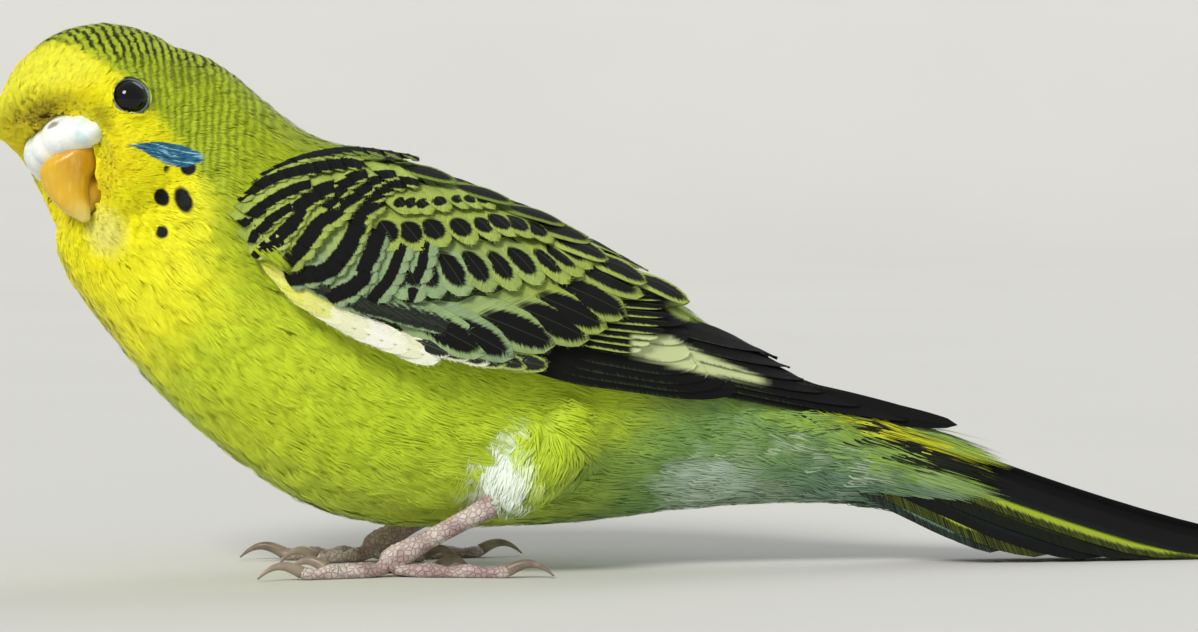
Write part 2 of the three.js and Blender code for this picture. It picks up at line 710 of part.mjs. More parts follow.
// The claw of one toe: it arches up from the end of the toe and comes down to the floor.
function clawSolid(toe, side) {
  const way = toeWay(toe, side);
  const start = new THREE.Vector3(KNUCKLE[0], side * FOOT_SPREAD, 0).addScaledVector(
    way,
    toe.length + GAP,
  );
  const places = [];
  const radii = [];
  for (const share of CLAW_STOPS) {
    const arch = CLAW_FORM.arch * Math.sin(share * Math.PI * CLAW_FORM.bend);
    const height = CLAW_FORM.base + arch - CLAW_FORM.fall * share ** 2;
    places.push(start.clone().addScaledVector(way, share * toe.claw).setZ(height));
    radii.push(mix(...CLAW_FORM.thick, share ** CLAW_FORM.taper));
  }
  return bar(places, radii, 6, 1.1);
}

const BLOCK = 160; // side of a block that is larger than the bird's half

// A large block, used to trim whatever lies on one side of a plane, or as a thin blade.
function slab(middle, normal, thickness) {
  const turn = new THREE.Quaternion().setFromUnitVectors(
    new THREE.Vector3(0, 0, 1),
    normal.clone().normalize(),
  );
  const matrix = new THREE.Matrix4().compose(middle, turn, new THREE.Vector3(1, 1, 1));
  return solidOf(new THREE.BoxGeometry(BLOCK, BLOCK, thickness), matrix);
}

const FLOOR_THICKNESS = 40;
const floorBlock = slab(
  new THREE.Vector3(0, 0, -FLOOR_THICKNESS / 2),
  new THREE.Vector3(0, 0, 1),
  FLOOR_THICKNESS,
);
const nodes = new Map();
const keep = (name, solid, colour, roughness = 0.8) =>
  nodes.set(name, { solid: largest(solid), colour, roughness });

// Flesh and coat: one whole, parted by thin cuts.
const body = bodySolid();
const bodyGrown = bodySolid(GAP);
const skull = skullSolid();
const cutNormal = (share) => {
  const { depth } = bodySection(share);
  return depth.clone().cross(new THREE.Vector3(0, 1, 0)).normalize();
};

function cutAt(share) {
  return slab(bodySection(share).middle, cutNormal(share), GAP);
}

// The half of space ahead of a cut through the body.
function aheadOf(share) {
  const normal = cutNormal(share);
  if (normal.x > 0) normal.negate();
  const middle = bodySection(share).middle.addScaledVector(normal, BLOCK / 2);
  return slab(middle, normal, BLOCK);
}

const headBlock = aheadOf(BODY_CUTS.neck);
const headWhole = skull.add(body.intersect(headBlock));
const trunk = body.subtract(skull).subtract(headBlock);
const neckSide = aheadOf(BODY_CUTS.torso);
const rumpSide = aheadOf(BODY_CUTS.rump);
const eyes = [-1, 1].map((side) =>
  headBall(eyeCentre(-side), Array(3).fill(EYE_RADIUS), 11, 7),
);
const sockets = [-1, 1].map((side) =>
  headBall(eyeCentre(-side), Array(3).fill(EYE_RADIUS + GAP), 10, 7),
);

const cereGrown = cereSolid(GAP);
const billGrown = upperBillSolid(GAP);
let head = headWhole.add(lidSolid(1)).add(lidSolid(-1));
for (const hollow of [...sockets, cereGrown, billGrown, faceForm(LOWER_BILL, 1, GAP)]) {
  head = head.subtract(hollow);
}
keep("head", head, COLOURS.yellow);

const skullGap = slab(bodySection(BODY_CUTS.neck).middle, cutNormal(BODY_CUTS.neck), 2 * GAP);
const throat = trunk.intersect(neckSide).subtract(skullGap).subtract(billGrown);
keep("neck", throat, COLOURS.green);
keep(
  "torso",
  trunk.subtract(neckSide).subtract(cutAt(BODY_CUTS.torso)).intersect(rumpSide),
  COLOURS.green,
);
const rumpWhole = trunk.subtract(rumpSide).subtract(cutAt(BODY_CUTS.rump));

const nostrils = [-1, 1].map((side) => faceForm(NOSTRIL, side));
let cere = cereSolid().subtract(billGrown);
for (const pit of nostrils) cere = cere.subtract(pit);
keep("cere", cere, COLOURS.cere, 0.45);
keep("bill_upper", upperBillSolid(), COLOURS.horn, 0.35);
const lowerBill = faceForm(LOWER_BILL, 1).subtract(billGrown).subtract(cereGrown);
keep("bill_lower", lowerBill, COLOURS.horn, 0.4);

// Tail: all vanes of both sides in one fan, with a short core inside the coverts, which lies
// under the ridge. Each row is the share of the way along the ridge and the core's radius.
const TAIL_CORE_DEPTH = 5.6;
const TAIL_CORE_STOPS = [
  [0, 4.6],
  [0.13, 3.9],
  [0.27, 2.6],
];
const tailCore = bar(
  TAIL_CORE_STOPS.map(([share]) =>
    ridgeCurve.getPointAt(share).sub(new THREE.Vector3(0, 0, TAIL_CORE_DEPTH)),
  ),
  TAIL_CORE_STOPS.map(([, radius]) => radius),
  8,
);
const tailFan = joined([
  tailCore,
  ...TAIL_VANES.flatMap((spec) => [tailVane(spec, -1), tailVane(spec, 1)]),
]);
const tailStart = slab(
  new THREE.Vector3(TAIL_START - BLOCK / 2, 0, 0),
  new THREE.Vector3(1, 0, 0),
  BLOCK,
);
keep("tail", tailFan.subtract(floorBlock).subtract(tailStart), COLOURS.dark);
keep("rump", rumpWhole.intersect(tailStart), COLOURS.green);

const TOE_CUT = { length: 20, height: 12 };

// Thin upright cuts between neighbouring toes, along the lines that halve their angles.
function toeCuts(side) {
  const turns = TOES.map((toe) => ((toe.turn + 360) % 360)).sort((a, b) => a - b);
  return turns.map((turn, i) => {
    const next = i + 1 < turns.length ? turns[i + 1] : turns[0] + 360;
    const way = toeWay({ turn: (turn + next) / 2 }, side);
    const knuckle = new THREE.Vector3(KNUCKLE[0], side * FOOT_SPREAD, 0);
    const across = new THREE.Vector3(-way.y, way.x, 0);
    const basis = new THREE.Matrix4().makeBasis(way, across, new THREE.Vector3(0, 0, 1));
    basis.setPosition(knuckle.addScaledVector(way, TOE_CUT.length / 2));
    return solidOf(new THREE.BoxGeometry(TOE_CUT.length, GAP, TOE_CUT.height), basis);
  });
}

for (const [index, side] of [-1, 1].entries()) {
  const word = side < 0 ? "left" : "right";
  keep(`eye_${word}`, eyes[index], COLOURS.eye, 0.15);
  keep(`wing_${word}`, wingSolid(side).subtract(bodyGrown), COLOURS.barred);
  const thigh = thighSolid(side).subtract(bodyGrown);
  const shankGrown = shankSolid(side, GAP).add(floorBlock);
  const shank = shankSolid(side).subtract(bodyGrown).subtract(thighSolid(side, GAP));
  keep(`thigh_${word}`, thigh, COLOURS.green);
  keep(`shank_${word}`, shank.subtract(floorBlock), COLOURS.skin, 0.6);
  const cuts = joined(toeCuts(side));
  for (const toe of TOES) {
    const shape = toeSolid(toe, side).subtract(cuts).subtract(shankGrown);
    keep(`${toe.name}_${word}`, shape, COLOURS.skin, 0.6);
    keep(`${toe.name.replace("toe", "claw")}_${word}`, clawSolid(toe, side), COLOURS.claw, 0.35);
  }
}

// The group, shifted so that the middle of its box is over the origin and its feet are at 0.
const bird = new THREE.Group();
for (const [name, { solid, colour, roughness }] of nodes) {
  const { vertProperties, triVerts } = solid.getMesh();
  const geometry = new THREE.BufferGeometry();
  geometry.setAttribute("position", new THREE.BufferAttribute(vertProperties, 3));
  geometry.setIndex(new THREE.BufferAttribute(triVerts, 1));
  const material = new THREE.MeshStandardMaterial({ color: colour, roughness, metalness: 0 });
  const mesh = new THREE.Mesh(geometry, material);
  mesh.name = name;
  bird.add(mesh);
}
const box = new THREE.Box3().setFromObject(bird);
const middle = box.getCenter(new THREE.Vector3());
bird.position.set(-middle.x, -middle.y, -box.min.z);

export default bird;
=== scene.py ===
"""Looks of a life-size standing budgerigar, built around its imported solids.

Shapes are worked out in millimetres in the bird's own frame, where the bird faces -X and its
left side is at -Y, and are moved to the frame of the solids when a mesh is made.
"""

from __future__ import annotations

import logging
import math
from dataclasses import dataclass
from enum import Enum
from typing import Callable, Iterable, Sequence, Union

import bmesh
import bpy
import numpy as np
from mathutils import Matrix, Vector
from mathutils.bvhtree import BVHTree

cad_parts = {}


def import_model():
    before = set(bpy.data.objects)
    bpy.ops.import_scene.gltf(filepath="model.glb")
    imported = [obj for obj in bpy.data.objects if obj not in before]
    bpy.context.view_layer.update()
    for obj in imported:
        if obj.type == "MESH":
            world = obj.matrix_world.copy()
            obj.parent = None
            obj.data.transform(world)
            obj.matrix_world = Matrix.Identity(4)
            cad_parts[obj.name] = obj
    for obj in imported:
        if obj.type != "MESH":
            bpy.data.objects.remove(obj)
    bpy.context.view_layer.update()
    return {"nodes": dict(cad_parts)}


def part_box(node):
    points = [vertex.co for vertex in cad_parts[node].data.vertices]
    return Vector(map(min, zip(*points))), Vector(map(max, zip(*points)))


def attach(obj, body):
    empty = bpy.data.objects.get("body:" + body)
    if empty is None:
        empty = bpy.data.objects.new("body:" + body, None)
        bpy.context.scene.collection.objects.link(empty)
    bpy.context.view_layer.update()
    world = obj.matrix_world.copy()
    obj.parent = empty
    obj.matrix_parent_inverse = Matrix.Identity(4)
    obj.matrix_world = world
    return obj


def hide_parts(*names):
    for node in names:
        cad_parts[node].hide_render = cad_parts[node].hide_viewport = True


LOG = logging.getLogger("budgerigar")
MM = 0.001
TAIL_TIP = 98.0  # x of the end of the longest tail feather, in the bird's own frame
FLESH = ("head", "neck", "torso", "rump", "thigh_left", "thigh_right")
LEFT, RIGHT = -1, 1
SIDE_WORD = {LEFT: "left", RIGHT: "right"}
Array = np.ndarray
Chance = np.random.Generator
Material = bpy.types.Material
Object = bpy.types.Object
Socket = bpy.types.NodeSocket
Colour = Union[tuple, Socket]


def srgb(red: float, green: float, blue: float) -> tuple[float, float, float, float]:
    """Turns display values from 0 to 255 into a linear colour."""
    parts = [v / 255 for v in (red, green, blue)]
    line = [v / 12.92 if v <= 0.04045 else ((v + 0.055) / 1.055) ** 2.4 for v in parts]
    return (*line, 1.0)


def smooth(low: float, high: float, value: Array) -> Array:
    """Rises softly from 0 at low to 1 at high."""
    share = np.clip((np.asarray(value, float) - low) / (high - low), 0.0, 1.0)
    return share * share * (3 - 2 * share)


def mix(first: Array, second: Array, share: Array) -> Array:
    """Goes from first to second as share goes from 0 to 1."""
    return first + (second - first) * share


def unit(vectors: Array) -> Array:
    """Scales vectors along the last axis to length one."""
    return vectors / np.maximum(np.linalg.norm(vectors, axis=-1, keepdims=True), 1e-9)


def dot(first: Array, second: Array) -> Array:
    """Dot products along the last axis, kept as a column."""
    return np.sum(first * second, axis=-1, keepdims=True)


def spline(places: Sequence[Sequence[float]], shares: Array) -> Array:
    """Reads a Catmull-Rom curve through places.

    Args:
        places: The points that the curve goes through.
        shares: Where to read it, from 0 at the first point to 1 at the last.

    Returns:
        One row for each share.
    """
    knots = np.asarray(places, float)
    ends = np.vstack([2 * knots[0] - knots[1], knots, 2 * knots[-1] - knots[-2]])
    spot = np.clip(np.atleast_1d(shares), 0, 1) * (len(knots) - 1)
    index = np.minimum(spot.astype(int), len(knots) - 2)
    t = (spot - index)[:, None]
    a, b, c, d = (ends[index + k] for k in range(4))
    bend = 2 * b + (c - a) * t + (2 * a - 5 * b + 4 * c - d) * t**2
    return 0.5 * (bend + (3 * b - a - 3 * c + d) * t**3)


def follow(where: Array, run: Array, rows: Array) -> Array:
    """Reads rows of numbers, which belong to the places run, at other places."""
    return np.stack([np.interp(where, run, column) for column in rows.T], -1)


def run_of(path: Array) -> Array:
    """How far along a path each of its places lies."""
    return np.concatenate([[0], np.cumsum(np.linalg.norm(np.diff(path, axis=0), axis=1))])


def numbers_of(items: Iterable, name: str, wide: int, kind: type = float) -> Array:
    """One row of a mesh's numbers for each item."""
    found = np.empty(len(items) * wide, kind)
    items.foreach_get(name, found)
    return found.reshape(-1, wide)


def placed(name: str, data: bpy.types.ID) -> Object:
    """A new object of the scene."""
    made = bpy.data.objects.new(name, data)
    bpy.context.scene.collection.objects.link(made)
    return made


class Value:
    """A number in a shader graph. Arithmetic on it adds Math nodes."""

    def __init__(self, graph: Graph, socket: Socket) -> None:
        """Wraps one output socket of a graph."""
        self.graph = graph
        self.socket = socket

    def __add__(self, other: float | Value) -> Value:
        """Adds a number."""
        return self.graph.math("ADD", self, other)

    def __sub__(self, other: float | Value) -> Value:
        """Takes a number away."""
        return self.graph.math("SUBTRACT", self, other)

    def __rsub__(self, other: float | Value) -> Value:
        """Takes this away from a number."""
        return self.graph.math("SUBTRACT", other, self)

    def __mul__(self, other: float | Value) -> Value:
        """Multiplies by a number."""
        return self.graph.math("MULTIPLY", self, other)

    def __truediv__(self, other: float | Value) -> Value:
        """Divides by a number."""
        return self.graph.math("DIVIDE", self, other)

    def __pow__(self, other: float | Value) -> Value:
        """Raises to a power."""
        return self.graph.math("POWER", self, other)

    def __abs__(self) -> Value:
        """Drops the sign."""
        return self.graph.math("ABSOLUTE", self)

    __radd__ = __add__
    __rmul__ = __mul__

    def rise(self, low: float, high: float) -> Value:
        """Rises softly from 0 at low to 1 at high, or falls where low is the larger."""
        node = self.graph.node(
            "ShaderNodeMapRange",
            {"interpolation_type": "SMOOTHSTEP"},
            {"Value": self, "From Min": low, "From Max": high},
        )
        return Value(self.graph, node.outputs["Result"])


class Graph:
    """The node graph of one new material, ending in a Principled shader."""

    def __init__(self, name: str) -> None:
        """Makes an empty material of this name."""
        self.material = bpy.data.materials.new(name)
        self.material.use_nodes = True
        self.tree = self.material.node_tree
        self.tree.nodes.clear()
        self.colour: Colour = (0.0, 0.0, 0.0, 1.0)

    def node(self, kind: str, settings: dict | None = None, sockets: dict | None = None) -> bpy.types.Node:
        """Adds a node, with its properties and with values or links for its inputs."""
        made = self.tree.nodes.new(kind)
        for key, value in (settings or {}).items():
            setattr(made, key, value)
        for key, value in (sockets or {}).items():
            self.feed(made.inputs[key], value)
        return made

    def feed(self, socket: Socket, value: object) -> None:
        """Links or sets one input socket."""
        if isinstance(value, Value):
            self.tree.links.new(value.socket, socket)
        elif isinstance(value, Socket):
            self.tree.links.new(value, socket)
        else:
            socket.default_value = value

    def math(self, operation: str, *terms: float | Value) -> Value:
        """Adds a Math node."""
        node = self.node("ShaderNodeMath", {"operation": operation}, dict(enumerate(terms)))
        return Value(self, node.outputs[0])

    def vector(self, operation: str, output: str, *terms: object) -> Socket:
        """Adds a Vector Math node and gives the named output."""
        node = self.node("ShaderNodeVectorMath", {"operation": operation}, dict(enumerate(terms)))
        return node.outputs[output]

    def dot(self, vector: Socket, way: Sequence[float]) -> Value:
        """How far a vector goes along a way."""
        return Value(self, self.vector("DOT_PRODUCT", "Value", vector, tuple(way)))

    def here(self) -> Socket:
        """The place on the object, in metres."""
        return self.node("ShaderNodeTexCoord").outputs["Object"]

    def own(self, spot: Socket, place: Place) -> Socket:
        """A place in millimetres in the bird's own frame, from metres in that of the solids."""
        return self.vector("MULTIPLY_ADD", "Vector", spot, (1 / MM,) * 3, (-place.shift, 0, 0))

    def joined(self, *parts: float | Value) -> Socket:
        """A vector of three numbers."""
        return self.node("ShaderNodeCombineXYZ", {}, dict(enumerate(parts))).outputs[0]

    def blend(
        self, share: float | Value, first: Colour, second: Colour, mode: str = "MIX"
    ) -> Colour:
        """Lays a share of the second colour over the first one."""
        settings = {"data_type": "RGBA", "blend_type": mode, "clamp_result": True}
        node = self.node("ShaderNodeMix", settings, {0: share, 6: first, 7: second})
        return node.outputs[2]

    def over(self, share: float | Value, colour: Colour, mode: str = "MIX") -> None:
        """Lays a share of a colour over the graph's own."""
        self.colour = self.blend(share, self.colour, colour, mode)

    def noise(self, place: Socket, scale: float, detail: float = 2.0) -> Value:
        """Soft noise around 0.5 at a place."""
        node = self.node("ShaderNodeTexNoise", {}, {"Vector": place, "Scale": scale, "Detail": detail})
        return Value(self, node.outputs["Fac"])

    def attribute(self, name: str) -> bpy.types.Node:
        """Reads an attribute of the mesh."""
        return self.node("ShaderNodeAttribute", {"attribute_name": name})

    def parts(self, vector: Socket) -> tuple[Value, Value, Value]:
        """Splits a vector into its three numbers."""
        node = self.node("ShaderNodeSeparateXYZ", {}, {0: vector})
        return tuple(Value(self, socket) for socket in node.outputs)

    def finish(self, sockets: dict, bump: Value | None = None, depth: float = 0.0) -> Material:
        """Closes the graph with a Principled shader, and a bump of some depth in metres."""
        if bump is not None:
            bumped = self.node("ShaderNodeBump", {}, {"Height": bump, "Distance": depth})
            sockets = {**sockets, "Normal": bumped.outputs["Normal"]}
        shader = self.node("ShaderNodeBsdfPrincipled", {}, sockets)
        output = self.node("ShaderNodeOutputMaterial")
        self.tree.links.new(shader.outputs[0], output.inputs[0])
        return self.material


@dataclass(frozen=True)
class HeadFrame:
    """The frame of the turned head, in millimetres."""

    centre: tuple = (-65.6, -1.5, 60.3)
    radii: tuple = (16.0, 12.9, 14.8)
    yaw: float = 31.0
    pitch: float = 7.0
    roll: float = 24.0
    bill_root: tuple = (9.0, 0.0, -4.0)

    def axes(self) -> Array:
        """Unit vectors forward, to the bird's left and up, one in each row."""
        turn = (
            Matrix.Rotation(math.radians(self.yaw), 3, "Z")
            @ Matrix.Rotation(math.radians(-self.pitch), 3, "Y")
            @ Matrix.Rotation(math.radians(-self.roll), 3, "X")
        )
        own = [Vector((-1, 0, 0)), Vector((0, -1, 0)), Vector((0, 0, 1))]
        return np.array([turn @ axis for axis in own])

    def local(self, places: Array) -> Array:
        """Forward, left and up of places given in the bird's frame."""
        return (places - np.array(self.centre)) @ self.axes().T

    def world(self, places: Iterable) -> Array:
        """Places in the bird's frame from forward, left and up."""
        return np.asarray(places, float) @ self.axes() + np.array(self.centre)

    def share(self, places: Array) -> Array:
        """One in the head and nothing on the body, softly."""
        reach = np.linalg.norm(self.local(places) / np.array(self.radii), axis=-1)
        return 1 - smooth(1.0, 1.6, reach)


HEAD = HeadFrame()


def head_parts(graph: Graph, spot: Socket, middle: Sequence[float] = HEAD.centre) -> list[Value]:
    """How far forward, to the bird's left and up a place lies from another one on the head."""
    gap = graph.vector("SUBTRACT", "Vector", spot, tuple(middle))
    return [graph.dot(gap, axis) for axis in HEAD.axes()]


class Sheet:
    """Many small triangles gathered into one mesh with its own maps."""

    def __init__(self) -> None:
        """Starts with nothing."""
        self.points: list[Array] = []
        self.faces: list[Array] = []
        self.bake: list[Array] = []
        self.extra: dict[str, list[Array]] = {}
        self.count = 0

    def add(self, points: Array, faces: Array, bake: Array, **extra: Array) -> None:
        """Adds points and faces.

        Args:
            points: Places in millimetres, one in each row.
            faces: Triangles that count from the first of these points.
            bake: The place of each point on the flat map, from 0 to 1.
            extra: Vectors for named attributes, one row for each point.
        """
        self.points.append(points)
        self.faces.append(faces + self.count)
        self.bake.append(bake)
        for name, rows in extra.items():
            self.extra.setdefault(name, []).append(rows)
        self.count += len(points)

    def build(self, name: str, place: Place, material: Material) -> Object:
        """Makes one object of all that was added, with one finish."""
        points = place.out(np.concatenate(self.points)).astype(np.float32)
        faces = np.concatenate(self.faces).astype(np.int32)
        mesh = bpy.data.meshes.new(name)
        mesh.vertices.add(len(points))
        mesh.vertices.foreach_set("co", points.ravel())
        mesh.loops.add(faces.size)
        mesh.loops.foreach_set("vertex_index", faces.ravel())
        mesh.polygons.add(len(faces))
        mesh.polygons.foreach_set("loop_start", np.arange(0, faces.size, 3, dtype=np.int32))
        mesh.polygons.foreach_set("use_smooth", np.ones(len(faces), bool))
        flat = np.concatenate(self.bake).astype(np.float32)
        layer = mesh.uv_layers.new(name="OFBake")
        layer.data.foreach_set("uv", flat[faces.ravel()].ravel())
        for key, rows in self.extra.items():
            data = mesh.attributes.new(key, "FLOAT_VECTOR", "POINT")
            data.data.foreach_set("vector", np.concatenate(rows).astype(np.float32).ravel())
        mesh.update()
        mesh.validate()
        mesh.materials.append(material)
        made = placed(name, mesh)
        LOG.info("%s: %d triangles", name, len(faces))
        return made


@dataclass(frozen=True)
class Place:
    """How the bird's own frame lies in the frame of the solids."""

    shift: float  # millimetres along X

    @classmethod
    def found(cls) -> "Place":
        """Reads the shift from the tip of the tail."""
        return cls(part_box("tail")[1].x / MM - TAIL_TIP)

    def out(self, places: Array) -> Array:
        """Metres in the solids' frame from millimetres in the bird's."""
        return (np.asarray(places, float) + np.array([self.shift, 0, 0])) * MM

    def back(self, places: Array) -> Array:
        """Millimetres in the bird's frame from metres in the solids'."""
        return np.asarray(places, float) / MM - np.array([self.shift, 0, 0])


@dataclass(frozen=True)
class Zone:
    """An ellipsoid with a soft edge on the head, in millimetres forward, to the left and up."""

    middle: tuple
    radii: tuple = (1.0, 1.0, 1.0)
    fade: tuple = (0.0, 1.0)  # how many radii out it starts to thin, and where it ends

    def reach(self, local: Array) -> Array:
        """How many radii out from the middle each place lies."""
        return np.linalg.norm((local - np.array(self.middle)) / np.array(self.radii), axis=1)

    def share(self, local: Array) -> Array:
        """One in the middle and nothing outside, softly."""
        return 1 - smooth(*self.fade, self.reach(local))


@dataclass(frozen=True)
class Anatomy:
    """Where things are on the body, and how its coat lies. Sizes are in millimetres.

    A pair of numbers says where something softly starts and where it is complete.
    """

    axis: tuple = (
        (-63.5, 0, 62), (-60.5, 0, 57), (-53, 0, 47.6), (-43, 0, 41), (-30.7, 0, 33),
        (-15, 0, 25.6), (0, 0, 22.8), (16.3, 0, 19.9), (35.1, 0, 16.2), (53, 0, 12.4),
    )
    thigh_top: tuple = (-4.0, 11.5, 23.0)
    thigh_end: tuple = (-14.6, 12.0, 9.2)
    thigh_rim: tuple = (6.2, 8.0)  # distance from its line
    thigh_start: tuple = (2.0, 6.0)  # distance along its line
    thigh_side: tuple = (6.0, 8.0)  # distance from the middle plane
    thigh_way: tuple = (-0.5, 0, -0.86)  # down the leg
    axis_blur: float = 18.0  # over how much of the axis its direction is averaged
    batch: int = 4000  # places worked out at a time
    fan_ahead: float = 3.0  # the head's coat fans out from this far before the bill's root
    fan_bias: tuple = (-0.55, 0, -0.1)  # and is turned back and down by this
    muzzle: Zone = Zone((11.0, 0, -3.0), fade=(9.0, 17.0))
    brow: Zone = Zone((11.6, 0, 3.6), (4.4, 7.5, 3.2), (0.4, 1.15))
    brow_skin: Zone = Zone((10.8, 0, 4.6), (4.0, 8.5, 3.6), (0.3, 1.2))
    bill_side: Zone = Zone((9.8, 8.2, -3.8), (6.2, 6.2, 6.2), (0.25, 1.2))
    deep: tuple = (1.2, 0.85, 0.55, 1.3, 0.35)  # coat on body, head, face, brow and eye's rim
    eye_rim: tuple = (2.6, 5.2)  # distance from the middle of an eye
    sunk_bill: float = 2.2
    raised_brow: float = 3.2
    sunk_wing: float = 1.9
    wing_start: tuple = (-6, 10)
    wing_end: tuple = (34, 46)
    wing_top: tuple = (-4.0, 0.0)  # height over the wing's upper edge
    long: tuple = (4.6, 6.0, 15.0, 2.7, 1.6, 5.0)  # tufts on breast, belly, rump, head, face, thigh
    belly: tuple = (-45, 5)
    rump: tuple = (26, 44)
    broad: tuple = (0.4, 0.5, 0.14)  # a tuft's width to its length on body, head and rump
    gaps: tuple = (0.86, 0.58, 0.42)  # between roots on body, head and face

    def tangents(self, places: Array) -> Array:
        """The direction of the body's axis beside each place, towards the tail."""
        line = spline(self.axis, np.linspace(0, 1, 60))
        ways = unit(np.gradient(line, axis=0))
        found = np.empty_like(places)
        for start in range(0, len(places), self.batch):
            part = places[start : start + self.batch]
            gap = np.linalg.norm(part[:, None, :] * [1, 0, 1] - line[None], axis=-1)
            weight = np.exp(-((gap - gap.min(1, keepdims=True)) ** 2) / self.axis_blur)
            found[start : start + self.batch] = unit(weight @ ways)
        return found

    def thigh(self, places: Array) -> Array:
        """One on the feathered thighs and nothing elsewhere, softly."""
        top, end = np.array(self.thigh_top), np.array(self.thigh_end)
        folded = places.copy()
        folded[:, 1] = np.abs(folded[:, 1])
        way = unit(end - top)
        along = (folded - top) @ way
        reach = np.linalg.norm(folded - top - along[:, None] * way, axis=1)
        near = 1 - smooth(*self.thigh_rim, reach)
        return near * smooth(*self.thigh_start, along) * smooth(*self.thigh_side, folded[:, 1])

    def lie(self, places: Array, normals: Array) -> Array:
        """The way the coat lies at each place, along the surface."""
        local = HEAD.local(places)
        fan = local - np.array(HEAD.bill_root)
        fan[:, 0] -= self.fan_ahead
        fan = unit(fan) + np.array(self.fan_bias)
        head = unit(fan) @ HEAD.axes()
        share = HEAD.share(places)[:, None]
        way = mix(self.tangents(places), head, share)
        thigh = self.thigh(places)[:, None]
        way = mix(way, np.array(self.thigh_way), 0.85 * thigh)
        way = way - dot(way, normals) * normals
        return unit(way)

    def face(self, places: Array) -> Array:
        """One round the bill, falling to nothing past the eye."""
        return self.muzzle.share(HEAD.local(places))

    def depth(self, places: Array) -> Array:
        """How deep the coat is over the skin."""
        body, head, face, brow, eye = self.deep
        deep = mix(mix(body, head, HEAD.share(places)), face, self.face(places))
        deep = mix(deep, brow, self.brow.share(HEAD.local(places)))
        return mix(eye, deep, smooth(*self.eye_rim, eye_gap(places)))

    def bury(self, places: Array) -> Array:
        """How much deeper the skin lies beside the bill and under the wings, and higher on the brow."""
        local = HEAD.local(places)
        local[:, 1] = np.abs(local[:, 1])
        x, z = places[:, 0], places[:, 2]
        extra = self.sunk_bill * self.bill_side.share(local)
        extra -= self.raised_brow * self.brow_skin.share(local)
        long = smooth(*self.wing_start, x) * (1 - smooth(*self.wing_end, x))
        return extra + self.sunk_wing * long * smooth(*self.wing_top, z - WING.read(x)[:, 0])

    def length(self, places: Array) -> Array:
        """Length of one tuft."""
        breast, belly, rump, head, face, thigh = self.long
        long = mix(breast, belly, smooth(*self.belly, places[:, 0]))
        long = mix(long, rump, smooth(*self.rump, places[:, 0]))
        long = mix(mix(long, head, HEAD.share(places)), face, self.face(places))
        return mix(long, thigh, self.thigh(places))

    def width(self, places: Array) -> Array:
        """Greatest width of one tuft."""
        body, head, rump = self.broad
        broad = mix(body, head, HEAD.share(places))
        return self.length(places) * mix(broad, rump, smooth(*self.rump, places[:, 0]))

    def spacing(self, places: Array) -> Array:
        """Mean distance between roots."""
        body, head, face = self.gaps
        return mix(mix(body, head, HEAD.share(places)), face, self.face(places))


def eye_gap(places: Array) -> Array:
    """How far places in the bird's frame lie from the middle of the nearer eye."""
    place = Place.found()
    eyes = [place.back(np.mean(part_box(f"eye_{word}"), axis=0)) for word in SIDE_WORD.values()]
    return np.minimum(*(np.linalg.norm(places - eye, axis=1) for eye in eyes))


